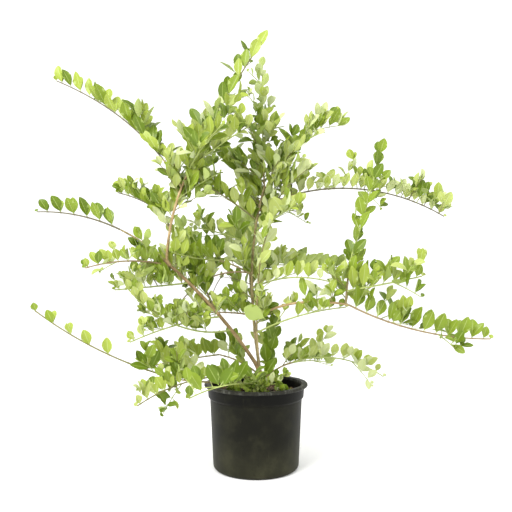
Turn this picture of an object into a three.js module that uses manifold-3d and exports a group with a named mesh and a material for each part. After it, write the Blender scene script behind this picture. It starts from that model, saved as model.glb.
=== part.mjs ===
// A seaside clerodendrum in a 30 cm nursery pot: a loose evergreen shrub of long arching shoots that
// rise from one short trunk. Millimetres, +Z up. The origin is the centre of the pot's flat underside,
// +X is the right of the plant as it is shown and +Y is its back.

import * as THREE from 'three';
import { mergeVertices } from 'three/addons/utils/BufferGeometryUtils.js';
import Module from 'manifold-3d';

const wasm = await Module();
wasm.setup();

// Pot
const POT_HEIGHT = 244;
const POT_RIM_RADIUS = 150;
const POT_COLLAR_RADIUS = 138;
const POT_BODY_RADIUS = 133;
const POT_BASE_RADIUS = 123;
const POT_WALL = 2.5;
const LIP_DEPTH = 10;
const COLLAR_DEPTH = 30;
const BASE_CORNER = 12;
const FLOOR_THICKNESS = 4;
const DRAIN_HOLES = 6;
const DRAIN_RADIUS = 7;
const DRAIN_CIRCLE = 92;
const POT_SIDES = 36;

// Soil
const SOIL_EDGE_LEVEL = 214;
const SOIL_MOUND_LEVEL = 224;
const SOIL_MOUND_RADIUS = 48;

// Trunk and boughs, each clear of what carries it by the gap
const GAP = 0.3;
const FOOT = new THREE.Vector3(18, 0, SOIL_MOUND_LEVEL + GAP);
const FLARE = 4.5;
const FLARE_HEIGHT = 11;
const TRUNK_STEP = 9;
const LIMB_SIDES = 6;
const LIMB_STEP = 50;

// Stems and side twigs of the foliage
const STEM_SIDES = 3;
const STEM_STEP = 75;
const STEM_BASE_RADIUS = 2.2;
const STEM_TIP_RADIUS = 0.9;
const TWIG_BASE_RADIUS = 1.3;
const TWIG_TIP_RADIUS = 0.8;
const TWIG_LENGTH = 95;
const TWIG_LEAN = 0.75;
const TWIG_LIFT = 0.25;
const TWIG_DROOP = 12;

// Leaves, in opposite pairs. Their width and thickness are shares of their length
const STEM_FIRST_NODE = 45;
const STEM_NODE_GAP = 56;
const TWIG_FIRST_NODE = 28;
const TWIG_NODE_GAP = 48;
const LAST_NODE = 3;
const LEAF_ENLARGED = 1.32;
const LEAF_WIDTH = 0.6;
const LEAF_THICKNESS = 0.045;
const LEAF_ANGLE = 52;
const LEAF_ANGLE_RANGE = 24;
const LEAF_LIFT = 0.45;
const LEVEL_LIFT = 0.75;
const LEVEL_UNLEAN = 0.4;
const LEVEL_FLATTEN = 0.8;

// The space that a mass keeps to itself
const SAMPLE_STEP = 12;
const SPACE_MARGIN = 4.4;
const LIMB_CLEARANCE = 2.5;
const POT_CLEARANCE = 6;
const SOIL_CLEARANCE = 4;
const LEAF_SPACING = 5;

const COLOURS = {
  pot: 0x32302a,
  soil: 0x4a3626,
  bark: 0x9a7a52,
  leaf: 0x7fa63a,
};

// Every limb and mass stem: its parent, how far up the parent it leaves, its heading round from +X and
// the swing of it, its climb at the root and at the tip in degrees, and its length.
// A limb also has its radius at the root and at the tip, a mass its leaf length and side twigs.
const LIMBS = [
  ['trunk', null, 0, [180, 0], [90, 64], 74, [8.2, 7]],
  ['left_bough', 'trunk', 68, [204, -20], [56, 41], 414, [5.3, 4.4]],
  ['left_riser', 'left_bough', 403, [58, -50], [86, 61], 317, [4, 3]],
  ['centre_stem', 'trunk', 44, [118, 64], [74, 106], 560, [4.9, 3]],
  ['second_stem', 'trunk', 32, [-110, 0], [66, 106], 300, [3, 2]],
  ['right_bough', 'centre_stem', 158, [-53, 41], [30, -10], 321, [3.6, 2.8]],
  ['right_upright_bough', 'right_bough', 312, [0, 0], [85, 84], 110, [2.9, 2.4]],
  ['upper_right_bough', 'centre_stem', 482, [15, -6], [33, 18], 120, [2.6, 2.1]],
  ['top_right_bough', 'centre_stem', 540, [32, -4], [54, 50], 90, [2.6, 2.1]],
  ['centre_top_bough', 'centre_stem', 556, [93, -1], [53, 61], 110, [2.6, 2.1]],
  ['top_left_bough', 'left_riser', 222, [150, 5], [56, 49], 110, [2.7, 2.2]],
  ['left_branch_bough', 'left_bough', 410, [199, -8], [44, 26], 150, [3, 2.4]],
  ['low_right_bough', 'trunk', 22, [38, -13], [36, 10], 120, [2.8, 2.2]],
  ['left_low_bough', 'trunk', 16, [203, -6], [3, 9], 240, [3, 2.4]],
  ['back_bough', 'centre_stem', 205, [100, -12], [48, 30], 190, [3, 2.3]],
  ['back_left_bough', 'left_bough', 210, [125, -10], [50, 32], 170, [3, 2.3]],
  ['back_right_bough', 'centre_stem', 250, [52, -10], [30, 16], 150, [2.8, 2.2]],
  ['back_low_bough', 'trunk', 38, [150, 8], [34, 8], 150, [2.8, 2.2]],
  ['front_bough', 'centre_stem', 290, [-160, -10], [34, 14], 110, [2.6, 2.1]],
];

const MASSES = [
  ['leader', 'left_riser', 317, [27, -29], [66, 55], 410, 59, 3],
  ['top_left_arch', 'top_left_bough', 110, [155, 21], [49, 23], 438, 57, 2],
  ['left_branch', 'left_branch_bough', 150, [191, -11], [26, -2], 232, 42, 0],
  ['left_side', 'left_bough', 386, [219, 1], [14, -16], 258, 36, 2],
  ['left_tuft', 'left_riser', 98, [116, 50], [39, 14], 267, 38, 3],
  ['left_low_long', 'left_low_bough', 240, [197, -10], [16, 38], 440, 36, 0],
  ['left_low_short', 'trunk', 28, [207, 20], [15, -22], 405, 37, 2],
  ['front_left_low', 'trunk', 9, [244, -1], [16, -5], 396, 50, 2],
  ['left_mid_low', 'left_bough', 185, [216, -12], [-2, -22], 275, 33, 2],
  ['left_mid_high', 'left_bough', 318, [200, -10], [-6, -4], 205, 35, 2],
  ['left_mid_riser', 'left_bough', 135, [218, -20], [-8, 52], 345, 33, 2],
  ['centre_left', 'centre_stem', 172, [188, 8], [10, -3], 150, 40, 2],
  ['right_spray', 'right_bough', 321, [-23, 27], [-26, 0], 380, 47, 2],
  ['right_upright', 'right_upright_bough', 110, [5, 10], [72, 76], 332, 44, 0],
  ['right_upright_side', 'right_upright_bough', 36, [-40, 22], [10, 13], 208, 46, 2],
  ['right_upper', 'upper_right_bough', 120, [9, -24], [16, -33], 468, 36, 3],
  ['right_top', 'top_right_bough', 90, [28, -12], [49, 41], 283, 48, 2],
  ['centre_top', 'centre_top_bough', 110, [92, -3], [61, 90], 353, 37, 3],
  ['mid_right', 'centre_stem', 250, [-42, 10], [24, -13], 271, 36, 1],
  ['low_right', 'low_right_bough', 120, [25, -32], [14, -34], 303, 38, 2],
  ['under_right', 'second_stem', 140, [-26, 14], [28, 6], 270, 37, 2],
  ['second_top', 'second_stem', 290, [-60, 20], [84, 60], 170, 42, 2],
  ['green_riser', 'trunk', 13, [8, 20], [74, 80], 190, 48, 1],
  ['small_right', 'centre_stem', 468, [45, -14], [22, -8], 171, 37, 2],
  ['back_high', 'back_bough', 190, [88, 20], [34, 50], 320, 45, 2],
  ['back_mid', 'back_bough', 150, [60, -20], [12, -6], 275, 45, 2],
  ['back_left', 'back_left_bough', 170, [108, 6], [34, 30], 300, 45, 2],
  ['back_right', 'back_right_bough', 150, [42, -10], [4, -4], 325, 45, 2],
  ['back_low', 'back_low_bough', 150, [150, -6], [-10, -14], 290, 42, 2],
  ['back_low_right', 'low_right_bough', 96, [62, -8], [0, -12], 285, 42, 2],
  ['front_centre', 'front_bough', 110, [-150, 34], [2, 12], 180, 47, 2],
  ['front_upper', 'left_riser', 262, [-62, 16], [38, 22], 220, 48, 3],
  ['front_high', 'left_riser', 290, [-14, 10], [36, 30], 200, 47, 2],
  ['back_top', 'centre_stem', 508, [128, 10], [44, 40], 280, 45, 2],
  ['back_left_high', 'left_riser', 160, [70, 4], [36, 30], 240, 45, 2],
  ['left_inner', 'centre_stem', 380, [186, 8], [24, 8], 190, 43, 3],
  ['right_inner', 'centre_stem', 420, [-42, 14], [30, 20], 170, 45, 2],
  ['foot_spray', 'trunk', 6, [-52, -10], [20, 8], 95, 25, 1],
  ['left_inner_high', 'centre_stem', 455, [188, 6], [38, 28], 200, 46, 2],
];

// Where each choice starts in a shoot's row of draws
const DRAW = {
  pair: 0,
  angle: 40,
  faceX: 80,
  faceY: 120,
  size: 160,
  twigTurn: 200,
  twigSize: 240,
  twigSwing: 280,
};

// A repeatable number from 0 to 1 for each shoot and draw
function dice(seed, draw) {
  const wave = Math.sin(seed * 12.9898 + draw * 78.233) * 43758.5453;
  return wave - Math.floor(wave);
}

// A line whose heading and climb change evenly along it, so it bends like a shoot under its own weight
class Shoot extends THREE.Curve {
  constructor(root, heading, climb, length) {
    super();
    this.root = root;
    this.length = length;
    this.heading = THREE.MathUtils.degToRad(heading[0]);
    this.swing = THREE.MathUtils.degToRad(heading[1]);
    this.climb = THREE.MathUtils.degToRad(climb[0]);
    this.bend = THREE.MathUtils.degToRad(climb[1] - climb[0]);
  }

  // Mean of the cosine of an angle that grows evenly from start by change * t
  static meanCosine(start, change, t) {
    const half = change * t / 2;
    const sinc = Math.abs(half) < 1e-6 ? 1 : Math.sin(half) / half;
    return Math.cos(start + half) * sinc;
  }

  getPoint(t, target = new THREE.Vector3()) {
    const { heading, swing, climb, bend } = this;
    const quarter = Math.PI / 2;
    const less = Shoot.meanCosine(climb - heading, bend - swing, t);
    const more = Shoot.meanCosine(climb + heading, bend + swing, t);
    const sideLess = Shoot.meanCosine(climb - heading + quarter, bend - swing, t);
    const sideMore = Shoot.meanCosine(climb + heading - quarter, bend + swing, t);
    const rise = Shoot.meanCosine(climb - quarter, bend, t);
    const reach = this.length * t;
    target.set(reach * (less + more) / 2, reach * (sideLess + sideMore) / 2, reach * rise);
    return target.add(this.root);
  }

  // The way along the shoot, and the two ways square to it: level, and up
  frame(t) {
    const h = this.heading + this.swing * t;
    const r = this.climb + this.bend * t;
    const along = new THREE.Vector3(Math.cos(r) * Math.cos(h), Math.cos(r) * Math.sin(h), Math.sin(r));
    const side = new THREE.Vector3(-Math.sin(h), Math.cos(h), 0);
    const up = new THREE.Vector3().crossVectors(along, side);
    return { point: this.getPoint(t), along, side, up };
  }
}

// The number of straight lengths that a rod along a shoot is made of
function stepsOf(shoot, step) {
  return Math.max(1, Math.round(shoot.length / step));
}

// A cylinder bent along a shoot, with its radius given by a function of the distance from the root
function rodGeometry(shoot, radiusAt, sides, step, grow = 0) {
  const steps = stepsOf(shoot, step);
  const geometry = new THREE.CylinderGeometry(1, 1, 1, sides, steps);
  const position = geometry.getAttribute('position');
  for (let i = 0; i < position.count; i += 1) {
    const t = position.getY(i) + 0.5;
    const stretched = t + (2 * t - 1) * grow / shoot.length;
    const { point, side, up } = shoot.frame(stretched);
    const radius = radiusAt(t * shoot.length) + grow;
    point.addScaledVector(up, position.getX(i) * radius);
    point.addScaledVector(side, position.getZ(i) * radius);
    position.setXYZ(i, point.x, point.y, point.z);
  }
  return geometry;
}

// The middle of a stem's straight length at t, which is where a leaf or a twig has its root
function heart(shoot, t) {
  const steps = stepsOf(shoot, STEM_STEP);
  const index = Math.min(steps - 1, Math.floor(t * steps));
  const start = shoot.getPoint(index / steps);
  return start.lerp(shoot.getPoint((index + 1) / steps), t * steps - index);
}

function taper(base, tip, length) {
  return (distance) => THREE.MathUtils.lerp(base, tip, THREE.MathUtils.clamp(distance / length, 0, 1));
}

function flared(radiusAt) {
  return (distance) => radiusAt(distance) + FLARE * Math.exp(-Math.max(0, distance) / FLARE_HEIGHT);
}

function toSolid(geometry) {
  const bare = geometry.index ? geometry.toNonIndexed() : geometry.clone();
  bare.deleteAttribute('normal');
  bare.deleteAttribute('uv');
  const merged = mergeVertices(bare, 1e-5);
  return new wasm.Manifold(new wasm.Mesh({
    numProp: 3,
    vertProperties: new Float32Array(merged.getAttribute('position').array),
    triVerts: new Uint32Array(merged.index.array),
  }));
}

function toGeometry(solid) {
  const mesh = solid.getMesh();
  const geometry = new THREE.BufferGeometry();
  geometry.setAttribute('position', new THREE.BufferAttribute(mesh.vertProperties, 3));
  geometry.setIndex(new THREE.BufferAttribute(mesh.triVerts, 1));
  geometry.computeVertexNormals();
  return geometry;
}

// The largest of the separate bodies in a solid, so that scraps left by a cut are dropped
function largest(solid) {
  return solid.decompose().sort((a, b) => b.volume() - a.volume())[0];
}

// A leaf is a blade pointed at both ends, flat on top and with a keel below, as a midrib makes: a sphere
// of three sides and two rows, which is 3/4 thick and 0.87 wide, stretched to the leaf's size
function leafGeometry(leaf) {
  const geometry = new THREE.SphereGeometry(0.5, 3, 2);
  const across = new THREE.Vector3().crossVectors(leaf.normal, leaf.way);
  const centre = leaf.root.clone().addScaledVector(leaf.way, leaf.length / 2);
  const basis = new THREE.Matrix4().makeBasis(
    leaf.normal.clone().multiplyScalar(leaf.length * LEAF_THICKNESS / 0.75),
    leaf.way.clone().multiplyScalar(leaf.length),
    across.multiplyScalar(leaf.length * LEAF_WIDTH / 0.866),
  );
  return geometry.applyMatrix4(basis.setPosition(centre));
}

// The opposite pairs of leaves on a stem: each pair is turned a quarter from the last, leans along the
// stem and lifts to the light, most of all where the stem is level
function leafPairs(shoot, size, seed, first, gap) {
  const count = Math.max(1, Math.floor((shoot.length - first) / gap));
  const leaves = [];
  for (let pair = 0; pair <= count; pair += 1) {
    const t = Math.min(shoot.length - LAST_NODE, first + pair * gap) / shoot.length;
    const { along, side, up } = shoot.frame(t);
    const level = Math.hypot(along.x, along.y);
    const turn = Math.PI * (pair / 2 + dice(seed, DRAW.pair + pair) * 0.35);
    for (const hand of [1, -1]) {
      const draw = pair * 2 + hand;
      const out = side.clone().multiplyScalar(Math.cos(turn) * hand);
      out.addScaledVector(up, Math.sin(turn) * hand * (1 - LEVEL_FLATTEN * level));
      const spread = LEAF_ANGLE_RANGE * (dice(seed, DRAW.angle + draw) - 0.5);
      const angle = THREE.MathUtils.degToRad(LEAF_ANGLE + spread);
      const way = along.clone().multiplyScalar(Math.cos(angle) * (1 - LEVEL_UNLEAN * level));
      way.addScaledVector(out, Math.sin(angle));
      way.z += LEAF_LIFT + LEVEL_LIFT * level;
      way.normalize();
      const normal = new THREE.Vector3(0, 0, 0.6);
      normal.x = 1.3 * (dice(seed, DRAW.faceX + draw) - 0.5);
      normal.y = dice(seed, DRAW.faceY + draw) - 0.95;
      normal.addScaledVector(way, -normal.dot(way)).normalize();
      const length = LEAF_ENLARGED * size * (0.75 + 0.4 * dice(seed, DRAW.size + draw)) * (1 - 0.4 * t);
      leaves.push({ root: heart(shoot, t), way, normal, length });
    }
  }
  return leaves;
}

// The side twigs of a mass: they leave its stem in turn all round it, lean along it and lift
function sideTwigs(shoot, count, seed) {
  const twigs = [];
  for (let index = 0; index < count; index += 1) {
    const t = (index + 0.6) / (count + 0.5);
    const { along, side, up } = shoot.frame(t);
    const turn = Math.PI * (index + 0.5 * dice(seed, DRAW.twigTurn + index));
    const way = along.clone().multiplyScalar(TWIG_LEAN);
    way.addScaledVector(side, Math.cos(turn));
    way.addScaledVector(up, Math.sin(turn) * 0.8);
    way.z += TWIG_LIFT;
    way.normalize();
    const heading = THREE.MathUtils.radToDeg(Math.atan2(way.y, way.x));
    const climb = THREE.MathUtils.radToDeg(Math.asin(way.z));
    const length = TWIG_LENGTH * (0.7 + 0.6 * dice(seed, DRAW.twigSize + index)) * (1 - 0.35 * t);
    const swing = 20 * dice(seed, DRAW.twigSwing + index) - 10;
    twigs.push(new Shoot(heart(shoot, t), [heading, swing], [climb, climb - TWIG_DROOP], length));
  }
  return twigs;
}

// All the centre lines, each grown from its parent
const shoots = new Map();
for (const [name, parent, at, heading, climb, length] of [...LIMBS, ...MASSES]) {
  const from = shoots.get(parent);
  const root = from ? from.getPoint(at / from.length) : FOOT;
  shoots.set(name, new Shoot(root, heading, climb, length));
}

const limbRadius = new Map();
for (const [name, , , , , length, [base, tip]] of LIMBS) {
  const plain = taper(base, tip, length);
  limbRadius.set(name, name === 'trunk' ? flared(plain) : plain);
}

// A line as points a step or so apart, for measuring how near other things come
function samples(shoot, radiusAt) {
  const count = Math.ceil(shoot.length / SAMPLE_STEP);
  return Array.from({ length: count + 1 }, (_, i) => {
    const t = i / count;
    return { point: shoot.getPoint(t), radius: radiusAt(t * shoot.length) };
  });
}

const lines = new Map();
for (const [name] of LIMBS) {
  lines.set(name, samples(shoots.get(name), limbRadius.get(name)));
}
for (const [name] of MASSES) {
  lines.set(name, samples(shoots.get(name), () => 0));
}

function distanceTo(point, line) {
  const segment = new THREE.Line3();
  const nearest = new THREE.Vector3();
  let least = Infinity;
  for (let i = 1; i < line.length; i += 1) {
    segment.set(line[i - 1].point, line[i].point);
    segment.closestPointToPoint(point, true, nearest);
    least = Math.min(least, nearest.distanceTo(point) - line[i].radius);
  }
  return least;
}

// Whether every point is nearer to its own mass's stem than to any other, and clear of all the limbs,
// the soil and the pot
function inOwnSpace(name, points) {
  return points.every((point) => {
    const fromMiddle = Math.hypot(point.x, point.y);
    const overPot = fromMiddle < POT_RIM_RADIUS + POT_CLEARANCE && point.z < POT_HEIGHT + POT_CLEARANCE;
    const inWall = fromMiddle > innerRadius(point.z) - POT_CLEARANCE;
    if (overPot && (inWall || point.z < SOIL_MOUND_LEVEL + SOIL_CLEARANCE)) {
      return false;
    }
    const own = distanceTo(point, lines.get(name));
    return LIMBS.every(([limb]) => distanceTo(point, lines.get(limb)) > LIMB_CLEARANCE)
      && MASSES.every(([other]) => other === name
        || distanceTo(point, lines.get(other)) > own + SPACE_MARGIN);
  });
}

// Points over a leaf's face, from just past its root to its tip
function leafPoints(leaf) {
  const across = new THREE.Vector3().crossVectors(leaf.way, leaf.normal);
  const points = [];
  for (const along of [0.2, 0.35, 0.5, 0.65, 0.8, 1]) {
    const halfWidth = Math.min(along, 1 - along) * leaf.length * LEAF_WIDTH;
    for (const hand of [-1, 0, 1]) {
      const point = leaf.root.clone().addScaledVector(leaf.way, along * leaf.length);
      points.push(point.addScaledVector(across, hand * halfWidth));
    }
  }
  return points;
}

function touching(leaf, other) {
  return leaf.points.some((point) => other.points.some((place) => place.distanceTo(point) < LEAF_SPACING));
}

function limbSolid(name, grow = 0) {
  const step = name === 'trunk' ? TRUNK_STEP : LIMB_STEP;
  return toSolid(rodGeometry(shoots.get(name), limbRadius.get(name), LIMB_SIDES, step, grow));
}

function buildLimb([name, parent]) {
  const solid = limbSolid(name);
  return parent ? largest(solid.subtract(limbSolid(parent, GAP))) : solid;
}

function buildMass([name, parent, , , , length, size, twigCount], index) {
  const stem = shoots.get(name);
  const seed = index + 1;
  const stemRadius = taper(STEM_BASE_RADIUS, STEM_TIP_RADIUS, length);
  const pieces = [rodGeometry(stem, stemRadius, STEM_SIDES, STEM_STEP)];
  const leaves = leafPairs(stem, size, seed, STEM_FIRST_NODE, STEM_NODE_GAP);
  for (const [order, twig] of sideTwigs(stem, twigCount, seed).entries()) {
    const reach = Array.from({ length: 7 }, (_, i) => twig.getPoint((i + 2) / 8));
    if (inOwnSpace(name, reach)) {
      const twigRadius = taper(TWIG_BASE_RADIUS, TWIG_TIP_RADIUS, twig.length);
      pieces.push(rodGeometry(twig, twigRadius, STEM_SIDES, STEM_STEP));
      leaves.push(...leafPairs(twig, size, seed * 50 + order, TWIG_FIRST_NODE, TWIG_NODE_GAP));
    }
  }
  const kept = [];
  for (const leaf of leaves) {
    leaf.points = leafPoints(leaf);
    if (inOwnSpace(name, leaf.points) && !kept.some((other) => touching(leaf, other))) {
      kept.push(leaf);
      pieces.push(leafGeometry(leaf));
    }
  }
  const whole = wasm.Manifold.union(pieces.map(toSolid)).subtract(limbSolid(parent, GAP));
  return largest(whole);
}

// The inside of the pot's wall is one straight taper from its floor to its lip
function innerRadius(height) {
  const foot = POT_BASE_RADIUS + 1 - 2 * POT_WALL;
  return foot + (POT_BODY_RADIUS + 3 - POT_WALL - foot) * height / POT_HEIGHT;
}

// The pot: a thin wall with a rolled lip, a collar, a tapering body with a rounded foot and drain holes
function buildPot() {
  const lipTop = POT_HEIGHT;
  const lipRadius = POT_RIM_RADIUS - LIP_DEPTH / 2;
  const collarFoot = POT_HEIGHT - LIP_DEPTH - COLLAR_DEPTH;
  const outline = new THREE.Path();
  outline.moveTo(0, 0);
  outline.lineTo(POT_BASE_RADIUS - BASE_CORNER, 0);
  outline.quadraticCurveTo(POT_BASE_RADIUS, 0, POT_BASE_RADIUS + 1, BASE_CORNER);
  outline.lineTo(POT_BODY_RADIUS, collarFoot - 3);
  outline.lineTo(POT_COLLAR_RADIUS, collarFoot);
  outline.lineTo(POT_COLLAR_RADIUS + 2, lipTop - LIP_DEPTH);
  outline.lineTo(lipRadius, lipTop - LIP_DEPTH);
  outline.absarc(lipRadius, lipTop - LIP_DEPTH / 2, LIP_DEPTH / 2, -Math.PI / 2, Math.PI / 2, false);
  outline.lineTo(innerRadius(lipTop), lipTop);
  outline.lineTo(innerRadius(FLOOR_THICKNESS), FLOOR_THICKNESS);
  outline.lineTo(0, FLOOR_THICKNESS);
  const shell = toSolid(new THREE.LatheGeometry(outline.getPoints(2), POT_SIDES).rotateX(Math.PI / 2));
  const holes = Array.from({ length: DRAIN_HOLES }, (_, i) => {
    const angle = (i + 0.5) * 2 * Math.PI / DRAIN_HOLES;
    const hole = new THREE.CylinderGeometry(DRAIN_RADIUS, DRAIN_RADIUS, FLOOR_THICKNESS * 4, 12);
    hole.rotateX(Math.PI / 2).translate(DRAIN_CIRCLE * Math.cos(angle), DRAIN_CIRCLE * Math.sin(angle), 0);
    return toSolid(hole);
  });
  return shell.subtract(wasm.Manifold.union(holes));
}

// The root ball fills the pot to below its lip, and mounds up a little at the trunk
function buildSoil() {
  const bottom = FLOOR_THICKNESS + GAP;
  const outline = [
    [0, bottom],
    [innerRadius(bottom) - GAP, bottom],
    [innerRadius(SOIL_EDGE_LEVEL) - GAP, SOIL_EDGE_LEVEL],
    [SOIL_MOUND_RADIUS * 2, SOIL_EDGE_LEVEL + 3],
    [SOIL_MOUND_RADIUS, SOIL_MOUND_LEVEL],
    [0, SOIL_MOUND_LEVEL],
  ].map(([radius, height]) => new THREE.Vector2(radius, height));
  return toSolid(new THREE.LatheGeometry(outline, POT_SIDES).rotateX(Math.PI / 2));
}

function addMesh(group, name, solid, colour, roughness) {
  const material = new THREE.MeshStandardMaterial({ color: colour, roughness, metalness: 0 });
  const mesh = new THREE.Mesh(toGeometry(solid), material);
  mesh.name = name;
  group.add(mesh);
}

const plant = new THREE.Group();
addMesh(plant, 'pot', buildPot(), COLOURS.pot, 0.55);
addMesh(plant, 'soil', buildSoil(), COLOURS.soil, 0.95);
for (const limb of LIMBS) {
  addMesh(plant, limb[0], buildLimb(limb), COLOURS.bark, 0.8);
}
for (const [index, mass] of MASSES.entries()) {
  addMesh(plant, mass[0], buildMass(mass, index), COLOURS.leaf, 0.6);
}

export default plant;
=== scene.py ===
import bpy
import numpy as np
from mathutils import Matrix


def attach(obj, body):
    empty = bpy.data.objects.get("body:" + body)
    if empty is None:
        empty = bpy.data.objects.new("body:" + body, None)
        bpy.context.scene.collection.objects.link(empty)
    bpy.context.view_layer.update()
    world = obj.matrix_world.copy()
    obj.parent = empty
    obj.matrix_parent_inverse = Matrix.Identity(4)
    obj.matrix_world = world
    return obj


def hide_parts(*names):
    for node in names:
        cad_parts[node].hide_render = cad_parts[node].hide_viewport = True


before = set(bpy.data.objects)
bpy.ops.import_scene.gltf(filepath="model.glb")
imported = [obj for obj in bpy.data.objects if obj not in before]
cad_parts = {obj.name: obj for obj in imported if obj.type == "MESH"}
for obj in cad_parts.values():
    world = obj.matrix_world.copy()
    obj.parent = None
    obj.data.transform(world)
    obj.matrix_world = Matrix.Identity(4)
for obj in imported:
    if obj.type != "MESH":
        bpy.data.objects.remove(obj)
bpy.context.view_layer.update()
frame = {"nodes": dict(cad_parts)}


# Camera: it stands 1.8 m in front of the pot and 58 cm up, at the height of the lower shoots, and looks
# up by one degree, as the photograph was taken.
CAMERA_PLACE = (0, -1.8, 0.58)
CAMERA_PITCH = np.radians(1.0)
SENSOR_WIDTH = 36
LENS = 43.3

lens = bpy.data.cameras.new("camera")
lens.sensor_width = SENSOR_WIDTH
lens.lens = LENS
camera = bpy.data.objects.new("camera", lens)
camera.location = CAMERA_PLACE
camera.rotation_euler = (np.pi / 2 + CAMERA_PITCH, 0, 0)
bpy.context.scene.collection.objects.link(camera)
bpy.context.scene.camera = camera


# Pot: black polypropylene moulded in one piece, with a rolled lip to lift it by, a collar that stiffens
# it, a body that tapers so that pots nest, a rounded foot and six drain holes. It has been used before, so
# its lip is scuffed grey and its wall has dull patches.
MM = 0.001
POT_HEIGHT = 244
POT_COLLAR_RADIUS = 138
POT_BODY_RADIUS = 133
POT_BASE_RADIUS = 123
POT_WALL = 2.5
POT_SIDES = 192
LIP_MIDDLE = (145, 239)
LIP_ROLL = 5
LIP_FOOT = 230
COLLAR_FOOT = 204
FOOT_ROUNDING = 12
FLOOR_THICKNESS = 4
DRAIN_HOLES = 6
DRAIN_RADIUS = 7
DRAIN_CIRCLE = 92
MARK_INNER_END = np.array([-4, -POT_BASE_RADIUS, 15])
MARK_OUTER_END = MARK_INNER_END - [0, 8, 0]
MARK_RADIUS = 2.4


def colour(red, green, blue):
    """A colour in even steps of light, from its 0 to 255 values on a screen: each is taken as a share of
    255 and raised by the screen's curve."""
    share = np.array([red, green, blue]) / 255
    return (*np.where(share > 0.04045, ((share + 0.055) / 1.055) ** 2.4, share / 12.92), 1.0)


class Wire:
    """A node's output. An expression on wires and numbers adds its Math nodes, and is a wire itself."""

    def __init__(self, finish, socket):
        self.finish = finish
        self.socket = socket

    def math(self, operation, *values):
        return self.finish.node("ShaderNodeMath", {"operation": operation}, dict(enumerate(values)))

    def __add__(self, other):
        return self.math("ADD", self, other)

    def __sub__(self, other):
        return self.math("SUBTRACT", self, other)

    def __rsub__(self, other):
        return self.math("SUBTRACT", other, self)

    def __mul__(self, other):
        return self.math("MULTIPLY", self, other)

    __radd__ = __add__
    __rmul__ = __mul__

    def over(self, start, end):
        """0 below start and 1 above end, with a smooth rise between them."""
        return self.finish.node(
            "ShaderNodeMapRange",
            {"interpolation_type": "SMOOTHSTEP"},
            {"Value": self, "From Min": start, "From Max": end},
        )


class Finish:
    """A material whose nodes are added by node(), from a type, its settings and its inputs."""

    def __init__(self, name):
        self.material = bpy.data.materials.new(name)
        self.material.use_nodes = True
        self.tree = self.material.node_tree
        self.tree.nodes.clear()

    def node(self, kind, settings=(), inputs=(), output=0):
        made = self.tree.nodes.new(kind)
        for name, value in dict(settings).items():
            setattr(made, name, value)
        for name, value in dict(inputs).items():
            if isinstance(value, Wire):
                self.tree.links.new(value.socket, made.inputs[name])
            else:
                made.inputs[name].default_value = value
        return Wire(self, made.outputs[output])

    def place(self):
        return self.node("ShaderNodeTexCoord", output="Object")

    def stretched(self, vector, scale):
        return self.node("ShaderNodeMapping", inputs={"Vector": vector, "Scale": scale})

    def noise(self, vector, scale, detail=3, roughness=0.5):
        values = {"Vector": vector, "Scale": scale, "Detail": detail, "Roughness": roughness}
        return self.node("ShaderNodeTexNoise", inputs=values)

    def cells(self, vector, scale):
        return self.node("ShaderNodeTexVoronoi", inputs={"Vector": vector, "Scale": scale})

    def mixed(self, share, first, second):
        """The first colour where share is 0 and the second where it is 1."""
        factor, one, other = 0, 6, 7
        values = {factor: share, one: first, other: second}
        return self.node("ShaderNodeMix", {"data_type": "RGBA"}, values, output=2)

    def bump(self, height, distance, strength=1):
        values = {"Height": height, "Distance": distance, "Strength": strength}
        return self.node("ShaderNodeBump", inputs=values)

    def worn(self, shader):
        out = self.tree.nodes.new("ShaderNodeOutputMaterial")
        self.tree.links.new(shader.socket, out.inputs["Surface"])
        return self.material


class Skin:
    """Closed tubes to be put in one mesh: their points in millimetres, their four-sided and three-sided
    faces, and the number of the finish that each face wears."""

    def __init__(self, points, quads, fans, quad_wear=0, fan_wear=0):
        self.points = points
        self.quads = quads
        self.fans = fans
        self.quad_wear = np.broadcast_to(quad_wear, len(quads))
        self.fan_wear = np.broadcast_to(fan_wear, len(fans))


def joined(skins):
    """One skin of several: the faces of each count on from the points of those before it."""
    starts = np.cumsum([0] + [len(skin.points) for skin in skins[:-1]])
    return Skin(
        np.concatenate([skin.points for skin in skins]),
        np.concatenate([skin.quads + start for skin, start in zip(skins, starts)]),
        np.concatenate([skin.fans + start for skin, start in zip(skins, starts)]),
        np.concatenate([skin.quad_wear for skin in skins]),
        np.concatenate([skin.fan_wear for skin in skins]),
    )


def tube_faces(count, rings, sides):
    """The faces of several closed tubes. A tube's points are numbered ring by ring, then the middle of its
    first end and of its last. Quads join each ring to the next, and fans close the two ends."""
    spot = np.arange(sides)
    beside = (spot + 1) % sides
    ring = np.arange(rings - 1)[:, None] * sides
    quads = np.stack([ring + spot, ring + beside, ring + sides + beside, ring + sides + spot], axis=-1)
    first = np.full(sides, rings * sides)
    last_ring = (rings - 1) * sides
    fans = np.stack([
        np.stack([first, beside, spot], axis=-1),
        np.stack([first + 1, last_ring + spot, last_ring + beside], axis=-1),
    ])
    start = np.arange(count)[:, None, None] * (rings * sides + 2)
    quads = (start + quads.reshape(-1, 4)).reshape(-1, 4)
    return quads, (start + fans.reshape(-1, 3)).reshape(-1, 3)


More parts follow.
